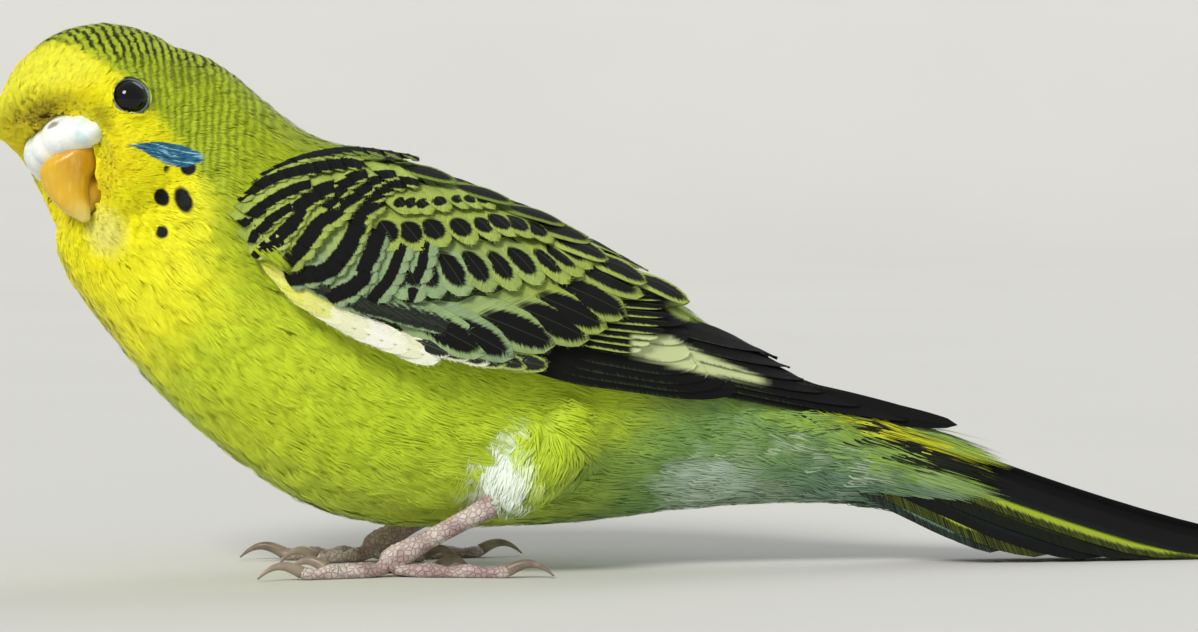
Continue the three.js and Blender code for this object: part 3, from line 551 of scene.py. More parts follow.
@dataclass(frozen=True)
class WingForm:
    """The outside of a folded wing seen from the side, in millimetres."""

    sections: tuple = (
        (-47.6, 50.6, 48.0, 13.4, 17.4), (-45.2, 53.3, 43.2, 12.4, 19.2),
        (-40.1, 56.0, 37.4, 11.2, 21.2), (-33.6, 57.1, 33.8, 10.0, 21.8),
        (-24.3, 55.6, 30.1, 7.8, 22.6), (-14.3, 52.0, 28.8, 6.0, 22.4),
        (-4.2, 47.7, 28.2, 4.8, 20.4), (5.7, 42.3, 26.9, 3.9, 17.2),
        (15.9, 36.9, 25.2, 3.1, 13.2), (26.8, 30.1, 23.6, 2.4, 9.0),
        (38.6, 24.2, 21.5, 1.9, 5.6), (50.4, 19.6, 19.2, 1.6, 3.2),
    )  # x, height of the upper and the lower edge, how far out each edge lies
    turned: float = 0.995  # share of the height where the surface turns to the back
    falls: tuple = (1.5, 0.2)  # how fast it goes in past that, and below the lower edge
    step: float = 0.4  # between the places that a slope is taken from
    steepest: float = 6.0
    brim: float = 0.3  # the surface is followed to this far under the upper edge
    over: tuple = (0.93, 0.22)  # how fast it goes in and up past the brim
    over_up: float = 0.6  # how fast its normal turns up there
    tuck: tuple = (-47.4, 1.6)  # x before which the front is tucked in, and how fast
    covered: tuple = (-45.5, 30.0, 2.5, 3.5, 5.5)  # from x, to x, margins below, above and inside
    lifted_low: tuple = (-1.5, 0.5)  # height over the lower edge where tufts are lifted
    lifted_high: tuple = (45.5, 48.5)
    lifted_front: tuple = (-48.2, -46.8)
    lifted_out: float = 0.8

    def read(self, x: Array) -> Array:
        """Upper and lower height and inner and outer distance at each x."""
        dense = spline(self.sections, np.linspace(0, 1, 240))
        return follow(x, dense[:, 0], dense[:, 1:])

    def out(self, x: Array, z: Array) -> Array:
        """How far out from the middle plane the wing lies at x and height z."""
        top, low, inner, outer = np.moveaxis(self.read(x), -1, 0)
        rise = (z - low) / np.maximum(top - low, 0.5)
        round_part = np.sqrt(np.maximum(1 - np.clip(rise, 0, self.turned) ** 2, 0))
        over = np.maximum(rise - self.turned, 0) * (top - low)
        under = np.maximum(low - z, 0)
        return mix(inner, outer, round_part) - self.falls[0] * over - self.falls[1] * under

    def point(self, x: Array, z: Array, side: int) -> tuple[Array, Array]:
        """Places on the wing and the directions out of it.

        Args:
            x: Distances along the bird.
            z: Heights.
            side: Which wing.

        Returns:
            The places and the unit normals, one in each row.
        """
        x, z = np.atleast_1d(x), np.atleast_1d(z)
        top = self.read(x)[:, 0] - self.brim
        past = np.maximum(z - top, 0)
        z = np.minimum(z, top)
        step = self.step
        y = self.out(x, z)
        slope_x = (self.out(x + step, z) - self.out(x - step, z)) / (2 * step)
        slope_z = (self.out(x, z + step) - self.out(x, z - step)) / (2 * step)
        slope_z = np.clip(slope_z, -self.steepest, self.steepest)
        normal = unit(np.stack([-slope_x, np.full_like(y, 1.0), -slope_z], -1))
        normal = unit(normal + np.array([0, 0, self.over_up]) * np.minimum(past, 3)[:, None])
        flip = np.array([1, side, 1])
        front, fast = self.tuck
        tucked = y - fast * np.maximum(front - x, 0)
        inward, upward = self.over
        return np.stack([x, tucked - inward * past, z + upward * past], -1) * flip, normal * flip

    def covers(self, places: Array) -> Array:
        """Whether a wing lies over each place of the body."""
        x, z = places[:, 0], places[:, 2]
        top, low, _, _ = np.moveaxis(self.read(x), -1, 0)
        start, end, below, above, within = self.covered
        inside = (z > low + below) & (z < top - above) & (x > start) & (x < end)
        return inside & (np.abs(places[:, 1]) > self.out(x, z) - within)

    def lift(self, places: Array, share: Array) -> Array:
        """Moves tufts that grow before the wing out over its front edge.

        Args:
            places: Places on the tufts.
            share: How much each may be moved.

        Returns:
            The places, moved out.
        """
        x, y, z = places.T
        _, low, _, _ = np.moveaxis(self.read(x), -1, 0)
        share = share * smooth(*self.lifted_low, z - low) * (1 - smooth(*self.lifted_high, z))
        share = share * smooth(*self.lifted_front, x)
        out = np.maximum(np.abs(y), mix(np.abs(y), self.out(x, z) + self.lifted_out, share))
        return np.column_stack([x, np.sign(y) * out, z])


WING = WingForm()


def melted(rough: Object, name: str, material: Material, voxel: float, passes: int) -> Object:
    """Melts the closed forms of one object into one soft form, and takes the object away.

    Args:
        rough: The object.
        name: The name of the new one.
        material: Its finish.
        voxel: The size of its finest details, in millimetres.
        passes: How often it is smoothed.

    Returns:
        The new object.
    """
    remesh = rough.modifiers.new("whole", "REMESH")
    remesh.mode = "VOXEL"
    remesh.voxel_size = voxel * MM
    soften = rough.modifiers.new("soften", "SMOOTH")
    soften.factor = 0.5
    soften.iterations = passes
    graph = bpy.context.evaluated_depsgraph_get()
    mesh = bpy.data.meshes.new_from_object(rough.evaluated_get(graph))
    bpy.data.objects.remove(rough)
    mesh.name = name
    for polygon in mesh.polygons:
        polygon.use_smooth = True
    mesh.materials.clear()
    mesh.materials.append(material)
    made = placed(name, mesh)
    LOG.info("%s: %d faces", name, len(mesh.polygons))
    return made


@dataclass
class Skin:
    """One closed skin through all the feathered flesh, sunk in by the depth of the coat."""

    place: Place
    anatomy: Anatomy
    voxel: float = 0.62  # millimetres
    swell: float = 0.32  # closes the thin cuts between the solids
    passes: int = 7
    body: Object | None = None

    def build(self, nodes: dict, material: Material) -> Object:
        """Makes the skin, which stands for all the feathered solids."""
        rough = bpy.data.meshes.new("rough_skin")
        whole = bmesh.new()
        for name in FLESH:
            part = bmesh.new()
            part.from_mesh(nodes[name].data)
            bmesh.ops.remove_doubles(part, verts=part.verts, dist=1e-6)
            part.normal_update()
            for vert in part.verts:
                vert.co += vert.normal * self.swell * MM
            part.to_mesh(rough)
            whole.from_mesh(rough)
            part.free()
        whole.to_mesh(rough)
        whole.free()
        model = placed("rough_skin", rough)
        self.body = melted(model, "skin", material, self.voxel, self.passes)
        self.sink(self.body.data)
        self.unwrap()
        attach(self.body, "root")
        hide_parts(*FLESH)
        return self.body

    def sink(self, mesh: bpy.types.Mesh) -> None:
        """Moves the skin in by the depth of the coat."""
        points = numbers_of(mesh.vertices, "co", 3)
        normals = numbers_of(mesh.vertex_normals, "vector", 3, np.float32)
        own = self.place.back(points)
        deep = self.anatomy.depth(own) + self.anatomy.bury(own) + self.swell
        points -= normals * deep[:, None] * MM
        mesh.vertices.foreach_set("co", points.ravel())
        mesh.update()

    def unwrap(self) -> None:
        """Lays the skin out flat for the map of the coat."""
        self.body.data.uv_layers.new(name="OFBake")
        bpy.ops.object.select_all(action="DESELECT")
        self.body.select_set(True)
        bpy.context.view_layer.objects.active = self.body
        bpy.ops.object.mode_set(mode="EDIT")
        bpy.ops.mesh.select_all(action="SELECT")
        bpy.ops.uv.smart_project(angle_limit=math.radians(70), island_margin=0.004)
        bpy.ops.object.mode_set(mode="OBJECT")

    def triangles(self) -> tuple[Array, Array]:
        """Corner places in millimetres and map places of all the skin's triangles."""
        mesh = self.body.data
        mesh.calc_loop_triangles()
        loops = numbers_of(mesh.loop_triangles, "loops", 3, np.int32)
        verts = numbers_of(mesh.loop_triangles, "vertices", 3, np.int32)
        flat = numbers_of(mesh.uv_layers["OFBake"].data, "uv", 2)
        return self.place.back(numbers_of(mesh.vertices, "co", 3))[verts], flat[loops]


@dataclass
class Coat:
    """The small feathers of head and body, as tufts of barbs that lie along the skin."""

    skin: Skin
    anatomy: Anatomy
    place: Place
    seed: int = 11
    barbs: int = 14
    stations: int = 4
    patch: float = 0.003  # width of a tuft on the flat map
    varied: tuple = (0.8, 1.2)  # least and greatest share of the usual length and width
    raised: tuple = (0.55, 1.1)  # and of the usual height
    # places on a barb, as shares of its length, with its spread and its height there
    levels: tuple = ((0.0, 0.35, -0.1), (0.5, 1.0, 0.7), (1.0, 0.8, 0.72))
    waves: tuple = ((0.55, 0.3, 0.75), (-0.4, 0.5, 1.3))  # of the lie over the body
    sway: float = 0.09  # radians
    rear: tuple = (26.0, 0.55)  # the skin's end past this x, where it looks back, stays bare
    lid_seat: float = 3.15  # radius of the bare place round the middle of an eye
    bill_seat: Zone = Zone((8.3, 0, -3.5), (3.4, 6.2, 6.3))
    free: tuple = (26, 40)  # x where tufts come off the skin
    free_way: tuple = (1.0, 0.0, -0.33)
    free_share: float = 0.8
    gather: float = 0.035  # how fast free tufts close in on the middle plane
    roof: tuple = ((28, 54), (26.5, 16.0))  # x and height of the line below the wings' tips
    roof_rim: tuple = (-2.5, 0.5)  # height over that line
    roof_down: float = 0.1
    front: tuple = (-46.6, -46.0)  # x before which tufts may lie over the front of a wing
    front_share: float = 0.3  # how many of them do
    parts: tuple = (("belly", -30), ("vent", -2), ("rump", 22))  # from which x on
    neck: float = -46.0

    def scatter(self, rng: Chance) -> tuple[Array, Array, Array]:
        """Draws the roots of the tufts over the skin.

        Args:
            rng: The seeded source of chance.

        Returns:
            Root places, their normals and their places on the flat map.
        """
        corners, flat = self.skin.triangles()
        cross = np.cross(corners[:, 1] - corners[:, 0], corners[:, 2] - corners[:, 0])
        area = np.linalg.norm(cross, axis=1) / 2
        middle = corners.mean(1)
        wanted = area / self.anatomy.spacing(middle) ** 2
        wanted[WING.covers(middle)] = 0
        wanted[self.bare(middle)] = 0
        wanted[(middle[:, 0] > self.rear[0]) & (unit(cross)[:, 0] > self.rear[1])] = 0
        picks = rng.choice(len(area), int(wanted.sum()), p=wanted / wanted.sum())
        pair = rng.random((len(picks), 2))
        fold = pair.sum(1) > 1
        pair[fold] = 1 - pair[fold]
        weights = np.column_stack([1 - pair.sum(1), pair])
        roots = np.einsum("nk,nkj->nj", weights, corners[picks])
        spots = np.einsum("nk,nkj->nj", weights, flat[picks])
        return roots, unit(cross[picks]), spots

    def bare(self, places: Array) -> Array:
        """Whether a place is under the lids or inside the bill's seat."""
        mouth = self.bill_seat.reach(HEAD.local(places)) < 1
        return (eye_gap(places) < self.lid_seat) | mouth

    def spines(self, roots: Array, normals: Array, rng: Chance) -> tuple[Array, Array]:
        """Walks every tuft over the skin from its root to its tip.

        Args:
            roots: Where the tufts grow.
            normals: Directions out of the skin at the roots.
            rng: The seeded source of chance.

        Returns:
            The places and the directions out of the skin at each station.
        """
        tree = BVHTree.FromObject(self.skin.body, bpy.context.evaluated_depsgraph_get())
        way = self.anatomy.lie(roots, normals)
        first, second = (roots @ wave for wave in self.waves)
        wave = np.sin(first) + np.sin(second + 2.0)
        swing = rng.normal(0, self.sway, len(roots)) + self.sway * wave * (1 - HEAD.share(roots))
        way = unit(way + np.cross(normals, way) * swing[:, None])
        long = self.anatomy.length(roots) * rng.uniform(*self.varied, len(roots))
        step = (long / (self.stations - 1))[:, None]
        places, outs = [roots], [normals]
        free = smooth(*self.free, roots[:, 0])[:, None]
        high = smooth(*self.roof_rim, roots[:, 2] - np.interp(roots[:, 0], *self.roof))[:, None]
        tail = unit(np.array(self.free_way)) - roots * [0, self.gather, 0]
        tail = tail - high * [0, 0, self.roof_down]
        way = unit(mix(way, unit(tail), free * self.free_share))
        chosen = rng.random(len(roots)) < self.front_share
        before = (1 - smooth(*self.front, roots[:, 0])) * chosen
        for _ in range(self.stations - 1):
            ahead = self.place.out(places[-1] + way * step)
            found = [tree.find_nearest(spot) for spot in ahead.tolist()]
            near = self.place.back(np.array([hit[0] for hit in found]))
            near = WING.lift(mix(near, places[-1] + way * step, free), before)
            out = unit(mix(np.array([hit[1] for hit in found]), outs[-1], free))
            way = unit(mix(way - dot(way, out) * out, way, free))
            places.append(near)
            outs.append(out)
        return np.stack(places, 1), np.stack(outs, 1)

    def build(self, material: Material) -> list[Object]:
        """Makes the coat, in one piece for each part of the bird."""
        rng = np.random.default_rng(self.seed)
        roots, normals, spots = self.scatter(rng)
        spine = self.spines(roots, normals, rng)
        area = self.areas(roots)
        pieces = []
        for name in sorted(set(area)):
            chosen = np.flatnonzero(area == name)
            sheet = self.tufts(chosen, roots, spots, spine, rng)
            piece = sheet.build(f"coat_{name}", self.place, material)
            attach(piece, "root")
            pieces.append(piece)
        return pieces

    def areas(self, roots: Array) -> Array:
        """The name of the part of the bird that each root is on."""
        side = np.where(roots[:, 1] < 0, "left", "right")
        part = np.full(len(roots), "breast", dtype=object)
        for name, start in self.parts:
            part[roots[:, 0] > start] = name
        part[self.anatomy.thigh(roots) > 0.4] = "thigh"
        part[(HEAD.share(roots) < 0.7) & (roots[:, 0] < self.neck)] = "neck"
        part[HEAD.share(roots) >= 0.7] = "head"
        back = (part == "head") & (HEAD.local(roots)[:, 0] > 4)
        part[back] = "head_front"
        return np.array([f"{p}_{s}" for p, s in zip(part, side)], dtype=object)

    def tufts(self, chosen: Array, roots: Array, spots: Array, spine: tuple, rng: Chance) -> Sheet:
        """Makes the barbs of some tufts.

        Args:
            chosen: Which tufts.
            roots: All roots.
            spots: The roots' places on the flat map.
            spine: What spines gave.
            rng: The seeded source of chance.

        Returns:
            A sheet with three triangles for each barb.
        """
        place, out = (rows[chosen] for rows in spine)
        count = len(chosen)
        depth = self.anatomy.depth(roots[chosen]) * rng.uniform(*self.raised, count)
        wide = self.anatomy.width(roots[chosen]) * rng.uniform(*self.varied, count)
        across = np.linspace(-1, 1, self.barbs)[None] + rng.normal(0, 0.1, (count, self.barbs))
        reach = 1 - 0.3 * across**2 + rng.normal(0, 0.07, (count, self.barbs))
        tufted = rng.random(count)
        shade = rng.random((count, self.barbs))
        ahead = unit(place[:, -1] - place[:, 0])
        beside = unit(np.cross(out[:, 1], ahead))
        rows = []
        for share, spread, lift in self.levels:
            spot = np.clip(share * reach, 0, 1) * (self.stations - 1)
            index = np.minimum(spot.astype(int), self.stations - 2)
            part = (spot - index)[..., None]
            pick = np.arange(count)[:, None]
            middle = mix(place[pick, index], place[pick, index + 1], part)
            up = unit(mix(out[pick, index], out[pick, index + 1], part))
            off = beside[:, None] * (across * spread * wide[:, None] / 2)[..., None]
            height = depth[:, None, None] * (lift + 0.12 * (shade[..., None] - 0.5))
            rows.append(middle + off + up * height)
        half = (wide / self.barbs * 0.7)[:, None, None] * beside[:, None]
        low, mid, top = rows
        corners = [low - half, low + half, mid - half * 0.8, mid + half * 0.8, top]
        points = np.stack(corners, 2).reshape(-1, 3)
        faces = np.array([[0, 1, 3], [0, 3, 2], [2, 3, 4]])
        many = count * self.barbs
        faces = (faces[None] + 5 * np.arange(many)[:, None, None]).reshape(-1, 3)
        along = np.tile([0.0, 0.0, 0.5, 0.5, 1.0], many)
        spread = np.repeat(across.ravel(), 5)
        corner = np.tile([-0.08, 0.08, -0.06, 0.06, 0.0], many)
        flat = np.repeat(spots[chosen], self.barbs * 5, axis=0)
        flat = flat + self.patch * np.column_stack([along - 0.5, (spread + corner) / 2])
        grown = np.repeat(self.place.out(roots[chosen]), self.barbs * 5, axis=0)
        # the second number runs from a barb's root to its tip; the finish darkens the roots with it as
        # painted shade
        tuft = [np.repeat(shade.ravel(), 5), along, np.repeat(tufted, self.barbs * 5)]
        sheet = Sheet()
        sheet.add(points, faces, np.clip(flat, 0, 1), root=grown, tuft=np.column_stack(tuft))
        return sheet


@dataclass(frozen=True)
class Smear:
    """A faint cloudy patch on the head, used for painted shadow as well as for patches of the plumage's own
    colour.
    """

    middle: tuple  # forward, aside and up, in millimetres
    narrow: tuple  # how fast it ends each way
    frayed: float
    fade: tuple
    share: float
    colour: tuple
    both: bool = False  # whether it is on both sides


@dataclass(frozen=True)
class Plumage:
    """The colours of the small feathers, the same on the skin and on the coat."""

    forehead: tuple = srgb(250, 246, 60)
    mask: tuple = srgb(252, 244, 10)
    lores: tuple = srgb(240, 214, 6)
    crown: tuple = srgb(176, 196, 24)
    throat: tuple = srgb(244, 242, 40)
    neck: tuple = srgb(150, 172, 10)
    breast: tuple = srgb(206, 222, 44)
    belly: tuple = srgb(196, 220, 44)
    flank: tuple = srgb(206, 226, 80)
    # vent, under_tail and teal darken the rear and its underside: partly the plumage's own colour and partly
    # painted shade where less light reaches the rear
    vent: tuple = srgb(124, 162, 84)
    vent_white: tuple = srgb(206, 224, 210)
    under_tail: tuple = srgb(116, 148, 96)
    teal: tuple = srgb(104, 134, 130)
    thigh: tuple = srgb(240, 252, 236)
    rump: tuple = srgb(150, 182, 48)
    stripe: tuple = srgb(196, 198, 32)
    bar: tuple = srgb(16, 22, 6)
    spot: tuple = srgb(8, 8, 7)
    cheek: tuple = srgb(38, 108, 140)
    cheek_pale: tuple = srgb(160, 214, 236)
    spots: tuple = (
        ((-0.1, 11.0, -15.3), 1.25, 1.95), ((1.9, 9.3, -14.0), 1.0, 1.3),
        ((2.7, 7.6, -18.1), 0.95, 1.05), ((-1.8, 12.2, -11.3), 1.1, 1.1),
        ((0.9, 11.5, -10.9), 0.6, 0.6),
    )  # place on the head, half width and half height
    cheek_start: tuple = (5.8, 12.1, -6.6)
    cheek_end: tuple = (-3.4, 13.1, -10.6)
    smears: tuple = (
        Smear((8.2, 10.9, -2.0), (0.2, 0.15, 0.14), 1.2, (1.3, 0.1), 0.55, srgb(96, 98, 4), True),
        Smear((7.0, 1.6, -15.0), (0.12, 0.07, 0.07), 1.5, (1.5, -0.5), 0.5, srgb(214, 216, 170)),
        Smear((11.6, 3.6, 2.4), (0.16, 0.07, 0.34), 1.6, (1.0, 0.0), 0.5, srgb(96, 62, 10)),
    )  # the painted shadow beside the bill, the pale chin and the stain over the cere

    def build(self, name: str, place: Place, coat: bool) -> Material:
        """Makes the finish of the skin, or that of the coat, whose tufts carry their roots and whose barbs
        are darkened towards their roots as painted shade.
        """
        graph = Graph(name)
        here = graph.here()
        at = graph.own(here, place)
        root = graph.own(graph.attribute("root").outputs["Vector"], place) if coat else at
        self.body(graph, root)
        self.head(graph, root, at)
        if coat:
            shade, along, tufted = graph.parts(graph.attribute("tuft").outputs["Vector"])
            # barbs darker towards their roots: painted shade of the tufts lying over them; shade and tufted
            # vary the tone at random by barb and by tuft
            light = 0.8 + along * 0.18 + shade * 0.12 + tufted * 0.1
            graph.over(1.0, graph.joined(light, light, light), "MULTIPLY")
        sockets = {"Base Color": graph.colour, "Roughness": 0.62, "Sheen Weight": 0.12}
        sockets |= {"Specular IOR Level": 0.25}
        if coat:
            return graph.finish(sockets)
        return graph.finish(sockets, graph.noise(here, 2600.0), 0.0002)

    def body(self, graph: Graph, root: Socket) -> None:
        """The colours from the breast to the rump."""
        x, y, z = graph.parts(root)
        wave = graph.noise(root, 0.12, 2.0) - 0.5
        fine = graph.noise(root, 0.35, 2.0) - 0.5
        graph.colour = graph.blend((x + wave * 16.0).rise(-52, -26), self.breast, self.belly)
        graph.over((z + wave * 12.0).rise(22, 8) * 0.5, self.flank)
        # from here the rear and its underside turn darker: partly the plumage's own colour and partly
        # painted shade where less light reaches them
        rear = (x - z * 0.75 + wave * 12.0).rise(-24, -4)
        graph.over(rear, self.vent)
        pale = (x - 12.0 + wave * 10.0) ** 2.0 * 0.011 + (z - 12.5 + fine * 6.0) ** 2.0 * 0.05
        graph.over(pale.rise(1.1, 0.2) * 0.7, self.vent_white)
        last = (x + fine * 14.0).rise(14, 30)
        graph.over(last, self.under_tail)
        low = last * (z + x * 0.16 + fine * 8.0).rise(21, 15)
        graph.over(low * 0.7, self.teal)
        back = (z + x * 0.42).rise(28, 33) * x.rise(-6, 8)
        graph.over(back * 0.7, self.rump)
        upper = (z + x * 0.41).rise(38.0, 41.0) * x.rise(-42, -36) * x.rise(4, -12)
        upper = upper * abs(y).rise(11.0, 8.0)
        scales = graph.math("SINE", x * 1.8 + abs(y) * 0.5 + fine * 7.0)
        graph.over(scales.rise(0.0, 0.6) * upper * 0.85, self.bar)
        line = z + x * 0.372 - 33.0 + fine * 1.4
        graph.over(abs(line - 0.7).rise(1.0, 0.4) * x.rise(10, 16), self.stripe)
        band = abs(line + 0.8 + x.rise(20, 48) * 0.5) - x.rise(12, 46) * 0.9
        graph.over(band.rise(0.5, 0.1) * x.rise(14, 20), self.bar)
        place = graph.vector("MULTIPLY", "Vector", root, (0.35, 0.8, 0.8))
        mottle = (graph.noise(place, 0.8, 2.0) - 0.5).rise(0.03, 0.12)
        graph.over(mottle * 0.45 * x.rise(8, 26) * (1 - back), srgb(206, 220, 190))
        lower = (x + 13.2 + fine * 3.0) ** 2.0 * 0.05 + (z - 15.0 + fine * 4.0) ** 2.0 * 0.018
        graph.over(lower.rise(1.3, 0.2) * abs(y).rise(6.0, 8.0), self.thigh)

    def head(self, graph: Graph, root: Socket, at: Socket) -> None:
        """The mask, the bars, the throat spots and the cheek patches."""
        forward, left, up = head_parts(graph, root)
        left = abs(left)
        ahead, aside, high = head_parts(graph, at)
        wave = graph.noise(at, 0.3, 2.0) - 0.5
        fine = graph.noise(at, 1.1, 2.0) - 0.5
        side = (forward * -1.0 + wave * 7.0).rise(-1.5, 4.0) * (left + wave * 5.0).rise(6.0, 12.0)
        around = (forward * 0.2 + up * 0.6 + wave * 7.0).rise(-24, -14)
        ruff = (forward * 0.55 + up * 0.6 + wave * 9.0).rise(-21, -12)
        graph.over(ruff, self.throat)
        graph.over(side * around * 0.85, self.neck)
        crown = (forward * -1.0 + up * 0.45 + 3.6 + wave * 2.4).rise(-1.4, 1.4)
        on_head = (forward * 0.5 + up * 0.85 + wave * 3.0).rise(-17, -9)
        graph.over(on_head * crown, self.crown)
        plain = on_head * (1 - crown)
        graph.over(plain, self.mask)
        graph.over(plain * (up + forward * 0.4).rise(4.5, 9.0), self.forehead)
        lores = plain * (left * 0.2 + forward - up * 0.25).rise(8.0, 12.0) * up.rise(5.0, 1.0)
        graph.over(lores * up.rise(-12.0, -7.0) * 0.7, self.lores)
        dusk = (forward + 4.5) ** 2.0 * 0.06 + (up - 1.6) ** 2.0 * 0.12
        graph.over(dusk.rise(1.1, 0.1) * crown * 0.45, srgb(110, 126, 10))
        phase = self.phase(ahead, high) + fine * 0.8 + wave * 0.9
        bars = graph.math("SINE", phase * math.tau)
        reach = (forward * -1.0 + up * 0.45 + 3.6 + fine * 4.0).rise(-0.6, 2.2)
        fade = reach * on_head * (forward * -1.0 + wave * 6.0).rise(21, 14)
        top = (up + left * -0.35 - forward * 0.25 + 4.0).rise(2.0, 6.5)
        graph.over(bars.rise(-0.1, 0.65) * fade * (0.35 + top * 0.6), self.bar)
        light = bars.rise(-0.3, -0.9) * fade * 0.3
        graph.over(light, srgb(206, 218, 80))
        self.marks(graph, (ahead, abs(aside), high, aside))

    def phase(self, ahead: Value, high: Value) -> Value:
        """Counts the bars over the crown, which are finest at the front."""
        run = ahead * -1.0 - high * 0.3 + ahead * high * 0.03
        return run * (1 - (run + 3.0) * 0.012) * 0.98

    def marks(self, graph: Graph, place: tuple) -> None:
        """The dark spots, the blue cheek patch and the faint smears, one of which is painted shadow beside
        the bill.
        """
        ahead, aside, high, left = place
        for (f, a, u), wide, tall in self.spots:
            flat = ((ahead - f) ** 2.0 + (aside - a) ** 2.0) * (1 / wide**2)
            gap = graph.math("SQRT", flat + (high - u) ** 2.0 * (1 / tall**2))
            graph.over(gap.rise(1.2, 0.85), self.spot)
        start, end = np.array(self.cheek_start), np.array(self.cheek_end)
        way = (end - start) / np.linalg.norm(end - start)
        long = float(np.linalg.norm(end - start))
        along = (ahead - start[0]) * way[0] + (aside - start[1]) * way[1] + (high - start[2]) * way[2]
        down = (ahead - start[0]) * -way[2] + (high - start[2]) * way[0]
        share = along * (1 / long)
        streak = graph.noise(graph.joined(along * 0.25, down * 3.2, 0.0), 1.0, 3.0)
        half = share.rise(-0.05, 0.6) * share.rise(1.25, 0.75) * 1.35
        inside = (abs(down + share * 0.25) - half + (streak - 0.5) * 0.5).rise(0.15, -0.1)
        inside = inside * (share + (streak - 0.5) * 0.3).rise(1.12, 1.02)
        inside = inside * share.rise(-0.02, 0.04) * aside.rise(6, 8)
        patch = graph.blend(streak.rise(0.5, 0.66), self.cheek, self.cheek_pale)
        graph.over(inside, patch)
        # the first smear is painted shadow beside the bill
        for smear in self.smears:
            spot = (ahead, aside if smear.both else left, high)
            f, a, u = ((v - m) ** 2.0 * k for v, m, k in zip(spot, smear.middle, smear.narrow))
            cloud = f + a + u + (streak - 0.5) * smear.frayed
            graph.over(cloud.rise(*smear.fade) * smear.share, smear.colour)


class Palette(Enum):
    """Colours that the large feathers are made of."""

    BLACK = srgb(14, 15, 14)
    SLATE = srgb(40, 44, 38)
    YELLOW_GREEN = srgb(176, 196, 92)
    GREY_GREEN = srgb(152, 178, 128)
    PATCH = srgb(222, 234, 170)
    PALE_GREEN = srgb(196, 214, 110)
    DARK_GREEN = srgb(62, 76, 46)
    CREAM = srgb(252, 254, 226)
    LEMON = srgb(238, 240, 84)
    GREEN = srgb(124, 148, 52)
    TEAL = srgb(18, 28, 30)
    TAIL_YELLOW = srgb(170, 190, 54)
    TAIL_PALE = srgb(110, 140, 118)
    TAIL_DARK = srgb(52, 66, 18)

    def array(self) -> Array:
        """Red, green and blue."""
        return np.array(self.value[:3])


@dataclass(frozen=True)
class Row:
    """One row of wing feathers, set by the middles of their dark marks, in millimetres."""

    name: str
    marks: tuple  # places x and z that the row's marks run through
    count: int
    mark: tuple  # half width and half length of a dark mark
    length: float
    half: float
    tip: float  # from the middle of the mark to the tip
    heading: tuple | None = None  # degrees below level at both ends, or square to the row
    rim: Palette = Palette.GREY_GREEN
    last_rim: Palette | None = None
    core: Palette = Palette.BLACK
    band: bool = False  # whether the marks join into one band along the row
    lift: float = 0.0


@dataclass(frozen=True)
class Quill:
    """A set of long wing feathers between root and tip lines, in millimetres."""

    name: str
    roots: tuple
    tips: tuple
    count: int
    half: float
    depth: float  # how far it lies under the wing's surface
    rim: Palette
    edge: float  # width of the pale rim
    point: float = 0.5


def band(name: str, marks: tuple, count: int, thick: float, tip: float, *rims: Palette) -> Row:
    """A row of small feathers at the wing's bend, whose marks make one dark band."""
    rims = rims or (Palette.YELLOW_GREEN,)
    return Row(name, marks, count, (9.0, thick), 4.4 + tip, 1.6, tip, None, *rims, band=True)


